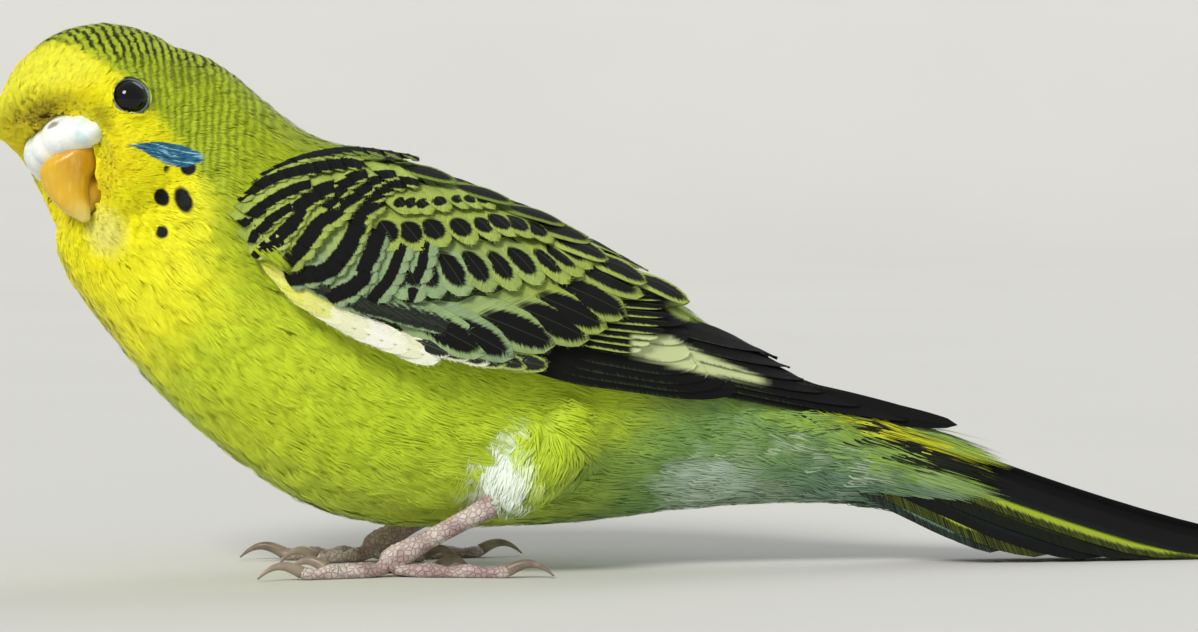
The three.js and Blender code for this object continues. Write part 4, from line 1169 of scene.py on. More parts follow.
ROWS = (
    Row("margin", ((-44.8, 42.6), (-40.6, 38.4), (-34.0, 34.4), (-25.6, 30.9)), 15, (0.1, 0.1), 9.0,
        1.6, 3.0, (44, 22), Palette.LEMON, Palette.CREAM, Palette.CREAM, lift=-0.1),
    Row("lower_edge", ((-24.0, 31.6), (-18.0, 30.2), (-11.5, 29.4)), 6, (0.9, 2.6), 9.0,
        1.3, 3.2, (20, 14), Palette.CREAM, Palette.YELLOW_GREEN, Palette.SLATE, lift=-0.1),
    Row("streaked", ((-40.2, 40.9), (-36.2, 38.6), (-30.6, 36.7), (-24.0, 35.0)), 15, (1.05, 2.9),
        7.5, 1.5, 2.5, (44, 28), Palette.GREY_GREEN, Palette.GREY_GREEN, Palette.SLATE),
    Row("greater", ((-21.5, 33.2), (-17.0, 32.9), (-10.0, 34.1), (-5.9, 35.5), (-2.1, 37.2),
        (0.8, 40.2)), 7, (1.75, 4.6), 16.0, 2.8, 5.7, (28, 24), Palette.GREY_GREEN,
        Palette.YELLOW_GREEN),
    Row("row_c", ((-28.4, 41.7), (-25.0, 41.6), (-18.9, 41.9), (-13.1, 42.3), (-7.3, 43.0),
        (-4.2, 44.0)), 10, (1.35, 2.4), 9.5, 2.2, 4.3, (68, 46), Palette.GREY_GREEN,
        Palette.YELLOW_GREEN),
    Row("row_b", ((-29.6, 46.8), (-24.0, 46.8), (-17.9, 47.4), (-13.4, 47.8), (-9.0, 46.9)), 8,
        (1.45, 1.5), 8.5, 2.0, 3.1, (56, 44), Palette.YELLOW_GREEN, Palette.YELLOW_GREEN),
    Row("row_a", ((-27.4, 50.3), (-24.6, 50.3), (-19.6, 50.7), (-15.8, 50.4)), 7, (1.15, 0.65), 7.0,
        1.7, 2.0, (52, 44), Palette.YELLOW_GREEN, Palette.YELLOW_GREEN),
    band("band_9", ((-26.4, 38.9), (-24.9, 42.3), (-24.4, 44.4)), 4, 0.6, 2.0, Palette.GREY_GREEN),
    band("band_8", ((-30.8, 38.9), (-29.1, 41.0), (-28.0, 44.0)), 5, 0.7, 2.0, Palette.GREY_GREEN),
    band("band_7", ((-36.2, 38.6), (-33.5, 39.8), (-32.2, 42.6), (-31.2, 45.4)), 7, 1.0, 1.95,
         Palette.GREY_GREEN),
    band("band_6", ((-41.4, 40.9), (-38.0, 41.3), (-35.6, 43.8), (-34.0, 46.4), (-33.0, 48.8),
         (-31.2, 50.2)), 11, 1.15, 2.0, Palette.GREY_GREEN, Palette.YELLOW_GREEN),
    band("upper_3", ((-30.6, 51.3), (-28.6, 52.4), (-26.0, 53.0)), 4, 0.6, 1.15),
    band("upper_2", ((-33.4, 51.0), (-31.4, 52.6), (-29.0, 53.8)), 4, 0.65, 1.15),
    Row("mantle", ((-27.0, 61.3), (-14.3, 56.9), (-4.2, 52.5), (4.7, 47.6)), 9, (1.8, 1.3), 8.0,
        2.4, 2.0, (24, 32), Palette.GREEN, Palette.YELLOW_GREEN, lift=-1.5),
    Row("back", ((-24.0, 57.4), (-14.3, 53.9), (-4.2, 49.6), (5.7, 44.0)), 8, (1.8, 2.2),
        9.5, 2.5, 2.9, (23, 31), Palette.GREEN, Palette.YELLOW_GREEN, lift=-1.1),
    Row("top", ((-23.3, 54.1), (-14.1, 50.7), (-6.4, 47.4), (-4.6, 45.4), (1.2, 42.0), (8.3, 38.8)), 7,
        (1.55, 3.7), 11.0, 2.3, 4.6, (20, 30), Palette.GREEN, Palette.YELLOW_GREEN, lift=0.0),
    band("upper_1", ((-36.6, 50.6), (-34.9, 52.4), (-33.0, 53.7)), 4, 0.65, 1.2),
    band("band_5", ((-42.2, 43.0), (-40.0, 45.5), (-38.4, 47.5), (-36.7, 48.9), (-35.0, 50.3)), 8,
         0.95, 2.0),
    band("band_4", ((-43.4, 46.2), (-41.4, 48.1), (-40.2, 50.4), (-37.2, 52.0)), 7, 0.85, 1.45),
    band("blob", ((-45.8, 44.2), (-43.4, 45.4)), 3, 0.6, 1.3, Palette.PALE_GREEN),
    band("streak_4", ((-46.5, 46.2), (-44.6, 48.0), (-42.9, 49.2)), 4, 0.6, 1.05),
    band("streak_3", ((-47.6, 48.0), (-45.2, 49.9), (-43.0, 51.1), (-40.4, 52.2)), 6, 0.6, 1.05),
    band("streak_2", ((-47.4, 51.0), (-44.6, 52.9), (-41.1, 54.0), (-37.2, 54.7), (-33.6, 55.0)), 9,
         0.6, 1.0),
    band("streak_1", ((-46.0, 53.8), (-40.2, 55.7), (-35.9, 56.5), (-32.0, 56.8), (-25.6, 56.1)), 12,
         0.6, 0.95, Palette.YELLOW_GREEN, Palette.GREEN),
)
QUILLS = (
    Quill("primaries", ((-3, 30.4), (0.5, 33.5), (4, 37.0)), ((51.6, 18.8), (33.0, 25.0), (26.6, 30.6)),
          7, 2.0, 1.6, Palette.DARK_GREEN, 0.16, 1.0),
    Quill("secondaries", ((-16, 30.6), (-9, 34), (-3, 40.5)), ((19.6, 24.9), (13.2, 29.6), (13.6, 38.0)),
          8, 2.5, 1.2, Palette.DARK_GREEN, 0.2, 0.6),
    Quill("primary_coverts", ((-6, 33.0), (-4.0, 35.6), (-2, 39.0)), ((5.2, 30.8), (9.2, 33.8), (9.6, 37.6)),
          8, 1.1, 0.4, Palette.YELLOW_GREEN, 0.3, 0.7),
)


@dataclass
class LargeFeathers:
    """Makes single large feathers as thin cambered vanes with frayed barbs at the edge."""

    seed: int = 5
    thickness: float = 0.06
    along: int = 13
    across: int = 9
    frays: int = 84
    cells: int = 18  # the flat map holds this many feathers each way
    made: int = 0

    def outline(self, share: Array, root: float = 0.45, point: float = 0.85) -> Array:
        """Half width at a share of the length, as a share of the greatest."""
        start = mix(root, 1.0, smooth(0, 0.4, share))
        past = np.maximum(share - (1 - point * 0.5), 0) / (point * 0.5)
        return start * np.sqrt(np.maximum(1 - past**2, 0))

    def add(
        self, sheet: Sheet, spine: Array, outs: Array, half: float, mark: tuple, middle: float,
        colours: tuple, rng: Chance, frayed: float = 1.0, point: float = 0.85, tilt: float = 0.0,
        camber: float = 0.05, skew: float = 0.0, along: int | None = None,
        tint: Callable | None = None,
    ) -> None:
        """Adds one feather to a sheet.

        Args:
            sheet: What it is added to.
            spine: Places of its shaft, root first, in millimetres.
            outs: Directions out of its upper face at those places.
            half: Its greatest half width.
            mark: Half width and half length of its dark mark.
            middle: How far from the root the middle of the mark lies.
            colours: The rim's and the mark's colour.
            rng: The seeded source of chance.
            frayed: Length of the loose barbs at its edge.
            point: How much of its length its rounded end takes.
            tilt: How much one edge stands higher than the other.
            camber: How far it bends round the surface below, for each square millimetre.
            skew: How far the mark is turned on the feather, in radians.
            along: How many rows of points it has along its shaft.
            tint: Gives the rim's and the mark's colour anew at each place.
        """
        along = along or self.along
        run = run_of(spine)
        ahead = unit(np.gradient(spine, axis=0))
        beside = unit(np.cross(outs, ahead))
        seed = rng.random()
        cell = np.array([self.made % self.cells, self.made // self.cells % self.cells])
        self.made += 1

        def place(share: Array, edge: Array, push: Array, rise: Array) -> tuple:
            """Places on the vane with their attributes and map places."""
            where = share * run[-1]
            at = follow(where, run, spine)
            out, side, way = (unit(follow(where, run, rows)) for rows in (outs, beside, ahead))
            reach = np.minimum(share, 1.0)
            wide = half * self.outline(reach, point=point) * edge + np.sign(edge) * push * 0.6
            forth = push * 0.8
            height = rise + tilt * edge - camber * wide**2
            spots = at + side * wide[:, None] + way * forth[:, None] + out * height[:, None]
            lie = np.column_stack([wide, where + forth - middle, np.full(len(where), seed)])
            over, along = wide / (half + 1), (where + forth) / (run[-1] + 1)
            flat = np.column_stack([0.5 + 0.44 * over, 0.06 + 0.8 * along])
            return spots, lie, (cell + np.clip(flat, 0.02, 0.98)) / self.cells

        share = np.repeat(np.linspace(0, 1, along) ** 0.85, self.across)
        edge = np.tile(np.linspace(-1, 1, self.across), along)
        edge = np.where(share > 0.999, edge * 0.6, edge)
        ridge = 0.1 * np.exp(-((edge * 6) ** 2))
        zero = np.zeros_like(share)
        upper = place(share, edge, zero, ridge)
        lower = place(share, edge, zero, -np.full_like(share, self.thickness))
        quads = []
        for i in range(along - 1):
            for j in range(self.across - 1):
                a = i * self.across + j
                b, c, d = a + 1, a + self.across + 1, a + self.across
                quads += [[a, b, c], [a, c, d]]
        faces = np.array(quads)
        look = FeatherLook((*mark, skew), *colours, tint)
        for (spots, lie, flat), turned in ((upper, False), (lower, True)):
            look.store(sheet, spots, faces[:, ::-1] if turned else faces, lie, flat)
        self.fray(sheet, place, frayed, look, half, rng)

    def fray(
        self, sheet: Sheet, place: Callable, frayed: float, look: FeatherLook, half: float,
        rng: Chance,
    ) -> None:
        """Adds loose barbs along the outer half of the edge."""
        count = self.frays
        share = rng.uniform(0.4, 1.0, count)
        side = np.where(rng.random(count) < 0.5, -1.0, 1.0)
        inner = rng.uniform(0.15, 0.92, count)
        push = frayed * rng.uniform(0.3, 1.0, count)
        rise = rng.uniform(0.02, 0.16, count)
        step = 0.11 / max(half, 0.5)
        first = place(share - 0.01, side * inner, np.zeros(count), rise * 0)
        second = place(share - 0.01, side * np.minimum(inner + step, 1), np.zeros(count), rise * 0)
        third = place(share, side * 0.97, push, rise)
        groups = (np.stack(group, 1) for group in zip(first, second, third))
        spots, lie, flat = (group.reshape(count * 3, -1) for group in groups)
        look.store(sheet, spots, np.arange(count * 3).reshape(-1, 3), lie, flat)


@dataclass(frozen=True)
class FeatherLook:
    """What the finish of one large feather is given."""

    mark: tuple  # half width, half length and turn of its dark mark
    rim: Array
    core: Array
    tint: Callable | None = None

    def store(self, sheet: Sheet, spots: Array, faces: Array, lie: Array, flat: Array) -> None:
        """Adds points of the feather to a sheet with this look."""
        rim = np.tile(self.rim, (len(spots), 1))
        core = np.tile(self.core, (len(spots), 1))
        if self.tint:
            rim, core = self.tint(spots, rim, core)
        mark = np.tile(self.mark, (len(spots), 1))
        sheet.add(spots, faces, flat, lie=lie, mark=mark, rim=rim, core=core)


@dataclass(frozen=True)
class FeatherFinish:
    """The finish of the large feathers: a rim, a dark mark and fine barbs."""

    rough: float = 0.72

    def build(self, name: str) -> Material:
        """Makes the finish."""
        graph = Graph(name)
        aside, along, seed = graph.parts(graph.attribute("lie").outputs["Vector"])
        wide, tall, skew = graph.parts(graph.attribute("mark").outputs["Vector"])
        rim = graph.attribute("rim").outputs["Color"]
        core = graph.attribute("core").outputs["Color"]
        barb = along - abs(aside) * 0.9
        line = graph.joined(barb * 3.2, aside.rise(-0.05, 0.05) * 7, seed * 57)
        streak = graph.noise(line, 1.0, 2.0)
        fine = graph.noise(line, 3.5, 1.0)
        turn, lean = graph.math("COSINE", skew), graph.math("SINE", skew)
        over = (aside * turn + along * lean) / wide
        down = (along * turn - aside * lean) / tall
        gap = graph.math("SQRT", over**2.0 + down**2.0)
        dark = (gap + (streak - 0.5) * 0.6).rise(1.2, 0.9)
        tint = graph.blend(fine.rise(0.42, 0.6) * 0.35, rim, graph.blend(0.6, rim, core))
        light = graph.blend(1.0, tint, (1.3, 1.3, 1.2, 1), "MULTIPLY")
        soft = graph.blend(streak.rise(0.35, 0.7) * 0.3, tint, light)
        colour = graph.blend(dark, soft, core)
        shaft = abs(aside).rise(0.1, 0.04) * (0.12 - wide * 0.02).rise(0.0, 0.1) * 0.12
        colour = graph.blend(shaft, colour, graph.blend(0.5, core, rim))
        comb = graph.math("SINE", barb * 26.0) * 0.5 + 0.5
        sockets = {"Base Color": colour, "Roughness": self.rough, "Specular IOR Level": 0.18}
        return graph.finish(sockets, comb, 0.00005)


@dataclass
class Wings:
    """Both folded wings, feather by feather."""

    place: Place
    feathers: LargeFeathers
    stations: int = 9
    sink: float = 1.3  # a root lies this deep under the wing's surface
    stand: float = 0.16  # and a tip this far over it
    patch: tuple = ((3.6, 31.3, 1.3), (9.5, 30.2, 1.9), (15.0, 28.2, 1.2), (24.4, 25.4, 0.3))
    spot: tuple = ((12.2, 35.4), (2.6, 1.1))
    endless: float = 400.0  # a mark of this length fills the whole feather
    bed_grid: tuple = (64, 22)
    bed_x: tuple = (-45.5, 14.0)
    bed_height: tuple = (0.04, 0.97)  # as shares of the wing's height
    bed_depth: tuple = (1.0, 3.2)  # at the front and under the flight feathers

    def tint(self, spots: Array, rim: Array, core: Array) -> tuple:
        """Gives the flight feathers their pale patch and the spot over it.

        Args:
            spots: Places in millimetres.
            rim: The rim's colour at each.
            core: The colour inside the rim at each.

        Returns:
            The two colours, changed.
        """
        x, z = spots[:, 0], spots[:, 2]
        line = np.array(self.patch)
        middle, half = (np.interp(x, line[:, 0], line[:, k]) for k in (1, 2))
        share = smooth(0.35, -0.25, np.abs(z - middle) - half)
        first, last = line[0, 0], line[-1, 0]
        share = share * smooth(first - 0.4, first + 0.6, x) * smooth(last, last - 2.5, x)
        (sx, sz), (wide, tall) = self.spot
        gap = np.hypot((x - sx) / wide, (z - sz + 0.3 * (x - sx)) / tall)
        round_spot = smooth(1.3, 0.8, gap) * 0.8
        share, round_spot = share[:, None], round_spot[:, None]
        core = mix(core, Palette.PATCH.array(), share * 0.94)
        core = mix(core, Palette.YELLOW_GREEN.array(), round_spot)
        return mix(rim, Palette.SLATE.array(), np.maximum(share, round_spot)), core

    def spine(self, start: Array, end: Array, low: float, high: float, side: int) -> tuple:
        """A shaft over the wing's surface between two places seen from the side.

        Args:
            start: The root's x and z.
            end: The tip's x and z.
            low: Height of the root over the wing's surface.
            high: Height of the tip.
            side: Which wing.

        Returns:
            The shaft's places and the directions out of the wing.
        """
        share = np.linspace(0, 1, self.stations)
        line = mix(start, end, share[:, None])
        spots, outs = WING.point(line[:, 0], line[:, 1], side)
        height = mix(low, high, smooth(-0.1, 0.75, share))
        return spots + outs * height[:, None], outs

    def row(self, sheet: Sheet, row: Row, side: int, rng: Chance, layer: int) -> None:
        """Adds one row of coverts.

        Args:
            sheet: What it is added to.
            row: The row.
            side: Which wing.
            rng: The seeded source of chance.
            layer: How many rows lie below this one.
        """
        shares = np.linspace(0, 1, row.count)
        runs = unit(np.gradient(spline(row.marks, np.linspace(0, 1, 41)), axis=0))
        for share, spot in zip(shares, spline(row.marks, shares)):
            run = runs[round(share * 40)]
            if row.heading:
                turn = math.radians(mix(*row.heading, share)) + rng.normal(0, 0.03)
                ahead = np.array([math.cos(turn), -math.sin(turn)])
            else:
                ahead = unit(np.array([run[1], -run[0]]) + np.array([0.22, 0.0]))
            beside = np.array([-ahead[1], ahead[0]]) * -side
            skew = math.atan2(run @ ahead, run @ beside) if row.band else 0.0
            tip = spot + ahead * row.tip * rng.uniform(0.92, 1.08)
            lift = row.lift + 0.035 * layer
            root = tip - ahead * row.length
            spine, outs = self.spine(root, tip, lift - self.sink, lift + self.stand, side)
            size = rng.uniform(0.9, 1.1)
            middle, stretch = self.marked(spine, row)
            part = float(np.clip(smooth(0.15, 0.75, share) + rng.normal(0, 0.12), 0, 1))
            pale = mix(row.rim.array(), (row.last_rim or row.rim).array(), part)
            pale = pale * rng.uniform(0.88, 1.12)
            mark = (row.mark[0] * size, row.mark[1] * size * stretch)
            self.feathers.add(
                sheet, spine, outs, row.half * size, mark, middle, (pale, row.core.array()), rng,
                frayed=0.6, tilt=0.1 * side, skew=skew,
            )

    def marked(self, spine: Array, row: Row) -> tuple[float, float]:
        """Where the mark's middle lies on the bent shaft, and how much longer the shaft is there."""
        run = run_of(spine)
        share = 1 - row.tip / row.length
        near = np.interp([share - 0.08, share, share + 0.08], np.linspace(0, 1, len(run)), run)
        return float(near[1]), float(near[2] - near[0]) / (0.16 * row.length)

    def quills(self, sheet: Sheet, quill: Quill, side: int, rng: Chance) -> None:
        """Adds one set of flight feathers."""
        shares = np.linspace(0, 1, quill.count)
        for root, tip in zip(spline(quill.roots, shares), spline(quill.tips, shares)):
            spine, outs = self.spine(root, tip, -quill.depth - 0.6, -quill.depth, side)
            long = float(np.linalg.norm(tip - root))
            mark = (quill.half - quill.edge, self.endless)
            colours = (quill.rim.array(), Palette.BLACK.array())
            self.feathers.add(
                sheet, spine, outs, quill.half, mark, long * 0.6, colours, rng, frayed=0.15,
                point=quill.point, tilt=0.3 * side, camber=0.04, along=34, tint=self.tint,
            )

    def bed(self, sheet: Sheet, side: int) -> None:
        """Adds the dark close feathering that shows between the large feathers."""
        columns, rows = self.bed_grid
        x = np.repeat(np.linspace(*self.bed_x, columns), rows)
        share = np.tile(np.linspace(*self.bed_height, rows), columns)
        top, low, _, _ = np.moveaxis(WING.read(x), -1, 0)
        spots, outs = WING.point(x, mix(low, top, share), side)
        spots = spots - outs * mix(*self.bed_depth, smooth(-14, 0, x))[:, None]
        start = np.arange(columns - 1)[:, None] * rows + np.arange(rows - 1)[None]
        quads = np.stack([start, start + rows, start + rows + 1, start + 1], -1).reshape(-1, 4)
        faces = np.concatenate([quads[:, [0, 1, 2]], quads[:, [0, 2, 3]]])
        faces = faces[:, ::-1] if side == RIGHT else faces
        lie = np.column_stack([share * 9, x, share])
        flat = np.column_stack([(x + 46) / 80, 0.97 + share * 0.028])
        look = FeatherLook((1.0, 1.0, 0.0), Palette.DARK_GREEN.array(), Palette.BLACK.array())
        look.store(sheet, spots, faces, lie, flat)

    def build(self, material: Material) -> list[Object]:
        """Makes both wings with the finish of large feathers."""
        made = []
        for side, word in SIDE_WORD.items():
            rng = np.random.default_rng(self.feathers.seed)
            self.feathers.made = 0
            sheet = Sheet()
            self.bed(sheet, side)
            for quill in QUILLS:
                self.quills(sheet, quill, side, rng)
            for layer, row in enumerate(ROWS):
                self.row(sheet, row, side, rng, layer)
            wing = sheet.build(f"plumage_wing_{word}", self.place, material)
            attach(wing, "root")
            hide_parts(f"wing_{word}")
            made.append(wing)
        return made


@dataclass(frozen=True)
class TailFeather:
    """One pair of tail feathers, in millimetres and degrees."""

    reach: float
    out: float
    down: float
    slope: float
    half: float
    rim: Palette
    core: Palette
    mark: tuple  # half width and half length of the core's colour, as shares


@dataclass
class Tail:
    """The long tail, a steep roof of narrow feathers."""

    place: Place
    feathers: LargeFeathers
    ridge: tuple = ((30, 22.6), (50.3, 16.2), (69, 9.8), (82.4, 5.8), (98, 2.5))
    pairs: tuple = (
        TailFeather(1.0, 1.3, 2.1, 52, 2.9, Palette.TEAL, Palette.BLACK, (0.8, 0.8)),
        TailFeather(0.87, 2.1, 4.0, 58, 2.9, Palette.BLACK, Palette.TAIL_YELLOW, (0.62, 0.42)),
        TailFeather(0.75, 2.8, 6.0, 62, 2.7, Palette.BLACK, Palette.TAIL_DARK, (0.4, 0.3)),
        TailFeather(0.63, 3.4, 8.0, 65, 2.6, Palette.BLACK, Palette.TEAL, (0.5, 0.3)),
        TailFeather(0.52, 3.9, 9.8, 67, 2.4, Palette.BLACK, Palette.TAIL_YELLOW, (0.5, 0.1)),
        TailFeather(0.42, 4.2, 11.4, 68, 2.2, Palette.BLACK, Palette.TAIL_PALE, (0.6, 0.2)),
    )
    floor_gap: float = 0.45

    def build(self, material: Material) -> Object:
        """Makes the tail with the finish of large feathers."""
        rng = np.random.default_rng(self.feathers.seed + 1)
        dense = spline(self.ridge, np.linspace(0, 1, 200))
        run = run_of(dense)
        run /= run[-1]
        sheet = Sheet()
        self.feathers.made = 0
        for pair in self.pairs:
            for side in (LEFT, RIGHT):
                self.feather(sheet, pair, side, dense, run, rng)
        tail = sheet.build("plumage_tail", self.place, material)
        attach(tail, "root")
        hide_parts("tail")
        return tail

    def feather(
        self, sheet: Sheet, pair: TailFeather, side: int, dense: Array, run: Array, rng: Chance
    ) -> None:
        """Adds one feather of a pair."""
        share = np.linspace(0, 1, 24) * pair.reach
        at = follow(share, run, dense)
        fan = mix(0.62, 1.0, np.minimum(share * 2.6, 1))
        out = side * pair.out * mix(fan, 0.7, share)
        slope = math.radians(pair.slope)
        height = at[:, 1] - pair.down * fan
        low = pair.half * self.feathers.outline(share / pair.reach, point=0.6) * math.sin(slope)
        spine = np.column_stack([at[:, 0], out, np.maximum(height, low + self.floor_gap)])
        face = np.array([0, side * math.sin(slope), math.cos(slope)])
        outs = np.tile(face, (len(share), 1))
        long = float(np.linalg.norm(np.diff(spine, axis=0), axis=1).sum())
        mark = (pair.half * pair.mark[0], long * pair.mark[1])
        colours = (pair.rim.array(), pair.core.array())
        self.feathers.add(
            sheet, spine, outs, pair.half, mark, long * 0.62, colours, rng, frayed=0.2, point=0.6,
            camber=0.03,
        )


def loft(bm: bmesh.types.BMesh, rings: Sequence[Array]) -> None:
    """Joins closed rings of places into one closed skin.

    Args:
        bm: What it is added to.
        rings: Rings of as many places each, in metres. The first and the last are closed.
    """
    loops = []
    for ring in rings:
        verts = bmesh.ops.create_circle(bm, segments=len(ring), radius=1.0)["verts"]
        for vert, spot in zip(verts, ring):
            vert.co = spot
        edges = {edge for vert in verts for edge in vert.link_edges}
        loops.append(list(edges))
    for first, second in zip(loops, loops[1:]):
        bmesh.ops.bridge_loops(bm, edges=first + second)
    for end in (loops[0], loops[-1]):
        bmesh.ops.edgeloop_fill(bm, edges=end)
    bmesh.ops.recalc_face_normals(bm, faces=bm.faces)


def tube_rings(path: Array, radii: Array, sides: int, flat: float = 1.0) -> list[Array]:
    """Rings round a path that lies roughly level.

    Args:
        path: Places along it, in millimetres.
        radii: Radius at each place.
        sides: How many places a ring has.
        flat: Height of a ring as a share of its width.

    Returns:
        The rings, in millimetres.
    """
    ahead = unit(np.gradient(path, axis=0))
    across = unit(np.cross(np.array([0, 0, 1.0]), ahead))
    up = np.cross(ahead, across)
    turn = np.linspace(0, 2 * math.pi, sides, endpoint=False)
    return [
        spot + radius * (np.cos(turn)[:, None] * side + flat * np.sin(turn)[:, None] * rise)
        for spot, radius, side, rise in zip(path, radii, across, up)
    ]


def finished(name: str, bm: bmesh.types.BMesh, material: Material) -> Object:
    """Turns a bmesh in metres into a smooth object."""
    mesh = bpy.data.meshes.new(name)
    bm.to_mesh(mesh)
    bm.free()
    for polygon in mesh.polygons:
        polygon.use_smooth = True
    mesh.materials.append(material)
    made = placed(name, mesh)
    LOG.info("%s: %d faces", name, len(mesh.polygons))
    return made


@dataclass
class Face:
    """The eyes with their lids, the cere and the bill."""

    place: Place
    lid_radius: float = 2.42
    lid_tube: float = 0.34
    lid_way: tuple = (0.26, 1.0, -0.02)  # the way an eye looks: forward, aside and up
    lid_notch: tuple = (26, 0.012)  # how many grains the ring has, and how high they are
    voxel: float = 0.2  # the finest detail of the melted forms
    keel: float = 0.2  # how far the bill's ridge stands out, to its depth
    bill: tuple = (
        (6.2, -2.6, 5.0, 3.5, 0.75), (7.6, -4.4, 4.8, 4.2, 0.7), (8.4, -6.2, 4.0, 3.6, 0.4),
        (9.1, -7.9, 3.1, 2.7, 0.2), (9.3, -10.0, 2.2, 1.9, 0.45), (9.0, -11.6, 1.5, 1.1, 0.75),
        (8.7, -12.75, 0.6, 0.5, 0.75),
    )  # forward, up, half width, half depth and how far it stands to the bird's left
    cere_lobe: tuple = (
        ((8.8, 2.7, -1.2), (3.2, 3.6, 3.0), 14), ((8.0, 4.4, -1.7), (3.0, 3.4, 2.6), 10),
        ((7.2, 6.0, -2.6), (2.4, 2.9, 1.7), 6), ((8.9, 0.0, -1.4), (3.3, 3.3, 3.0), 12),
    )  # middle, radii and tilt of the forms that one side is melted from
    cere_out: tuple = (1.0, -0.86)  # how far out the left and the right side reach
    chin_shapes: tuple = (
        ((6.3, 0.0, -8.6), (2.6, 2.3, 2.7), 20), ((7.3, 0.0, -10.0), (1.6, 1.7, 1.5), 20),
    )

    def eyes(self, ball: Material, lid: Material) -> None:
        """Makes both eyeballs and the rings of bare skin round them."""
        for side, word in SIDE_WORD.items():
            low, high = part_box(f"eye_{word}")
            middle, radius = (low + high) / 2, (high - low).x / 2
            bm = bmesh.new()
            bmesh.ops.create_uvsphere(bm, u_segments=40, v_segments=24, radius=radius)
            bmesh.ops.translate(bm, verts=bm.verts, vec=middle)
            eye = finished(f"eyeball_{word}", bm, ball)
            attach(eye, "root")
            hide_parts(f"eye_{word}")
            self.lid(side, word, middle, radius, lid)

    def lid(self, side: int, word: str, middle: Vector, radius: float, material: Material) -> None:
        """Makes the ring of the lids round one eye."""
        ahead, aside, up = self.lid_way
        ray = Vector(unit(np.array([ahead, -side * aside, up])) @ HEAD.axes())
        bm = bmesh.new()
        turn = ray.to_track_quat("Z", "Y").to_matrix().to_4x4()
        rise = math.sqrt(max((radius / MM) ** 2 - self.lid_radius**2, 0.0))
        start = bmesh.ops.create_circle(bm, segments=18, radius=self.lid_tube * MM)["verts"]
        stand = Matrix.Rotation(math.radians(90), 4, "X")
        bmesh.ops.transform(bm, matrix=stand, verts=start)
        bmesh.ops.translate(bm, verts=start, vec=(self.lid_radius * MM, 0, rise * MM))
        bmesh.ops.spin(
            bm, geom=start + list(bm.edges), cent=(0, 0, 0), axis=(0, 0, 1),
            angle=math.tau, steps=64, use_merge=True,
        )
        bmesh.ops.remove_doubles(bm, verts=bm.verts, dist=1e-7)
        count, high = self.lid_notch
        for vert in bm.verts:
            turned = math.atan2(vert.co.y, vert.co.x)
            vert.co *= 1 + high * math.sin(turned * count)
            vert.co.y *= 0.97
        bmesh.ops.transform(bm, matrix=Matrix.Translation(middle) @ turn, verts=bm.verts)
        bmesh.ops.recalc_face_normals(bm, faces=bm.faces)
        ring = finished(f"lids_{word}", bm, material)
        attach(ring, "root")

    def upper_bill(self, material: Material) -> None:
        """Makes the hooked upper bill."""
        sections = spline(self.bill, np.linspace(0, 1, 34))
        sides = 40
        turn = np.linspace(0, math.tau, sides, endpoint=False)
        rings = []
        for forward, up, half, deep, aside in sections:
            keel = self.keel * np.maximum(np.cos(turn), 0) ** 8
            ahead = forward + (np.cos(turn) + keel) * deep
            local = np.column_stack([ahead, np.sin(turn) * half + aside, np.full(sides, up)])
            rings.append(self.place.out(HEAD.world(local)))
        bm = bmesh.new()
        loft(bm, rings)
        piece = finished("bill_hook", bm, material)
        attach(piece, "root")
        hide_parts("bill_upper")

    def rounded(
        self, shapes: tuple, node: str, name: str, material: Material, passes: int
    ) -> None:
        """Melts some ellipsoids on the head into one soft form.

        Args:
            shapes: Middle, radii and tilt of each ellipsoid, in the head's own frame.
            node: The solid that it stands for.
            name: The new piece.
            material: Its finish.
            passes: How often it is smoothed.
        """
        bm = bmesh.new()
        for spot, radii, tilt in shapes:
            ball = bmesh.ops.create_icosphere(bm, subdivisions=4, radius=1.0)["verts"]
            turn = Matrix.Rotation(math.radians(tilt), 3, "Y")
            for vert in ball:
                own = turn @ Vector(vert.co[k] * radii[k] for k in range(3))
                vert.co = self.place.out(HEAD.world(np.array(spot) + np.array(own)))
        rough = finished("rough", bm, material)
        piece = melted(rough, name, material, self.voxel, passes)
        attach(piece, "root")
        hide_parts(node)


@dataclass(frozen=True)
class Toe:
    """One toe: its compass direction from straight ahead, its length, its claw and its radius."""

    name: str
    turn: float
    length: float
    claw: float
    radius: float


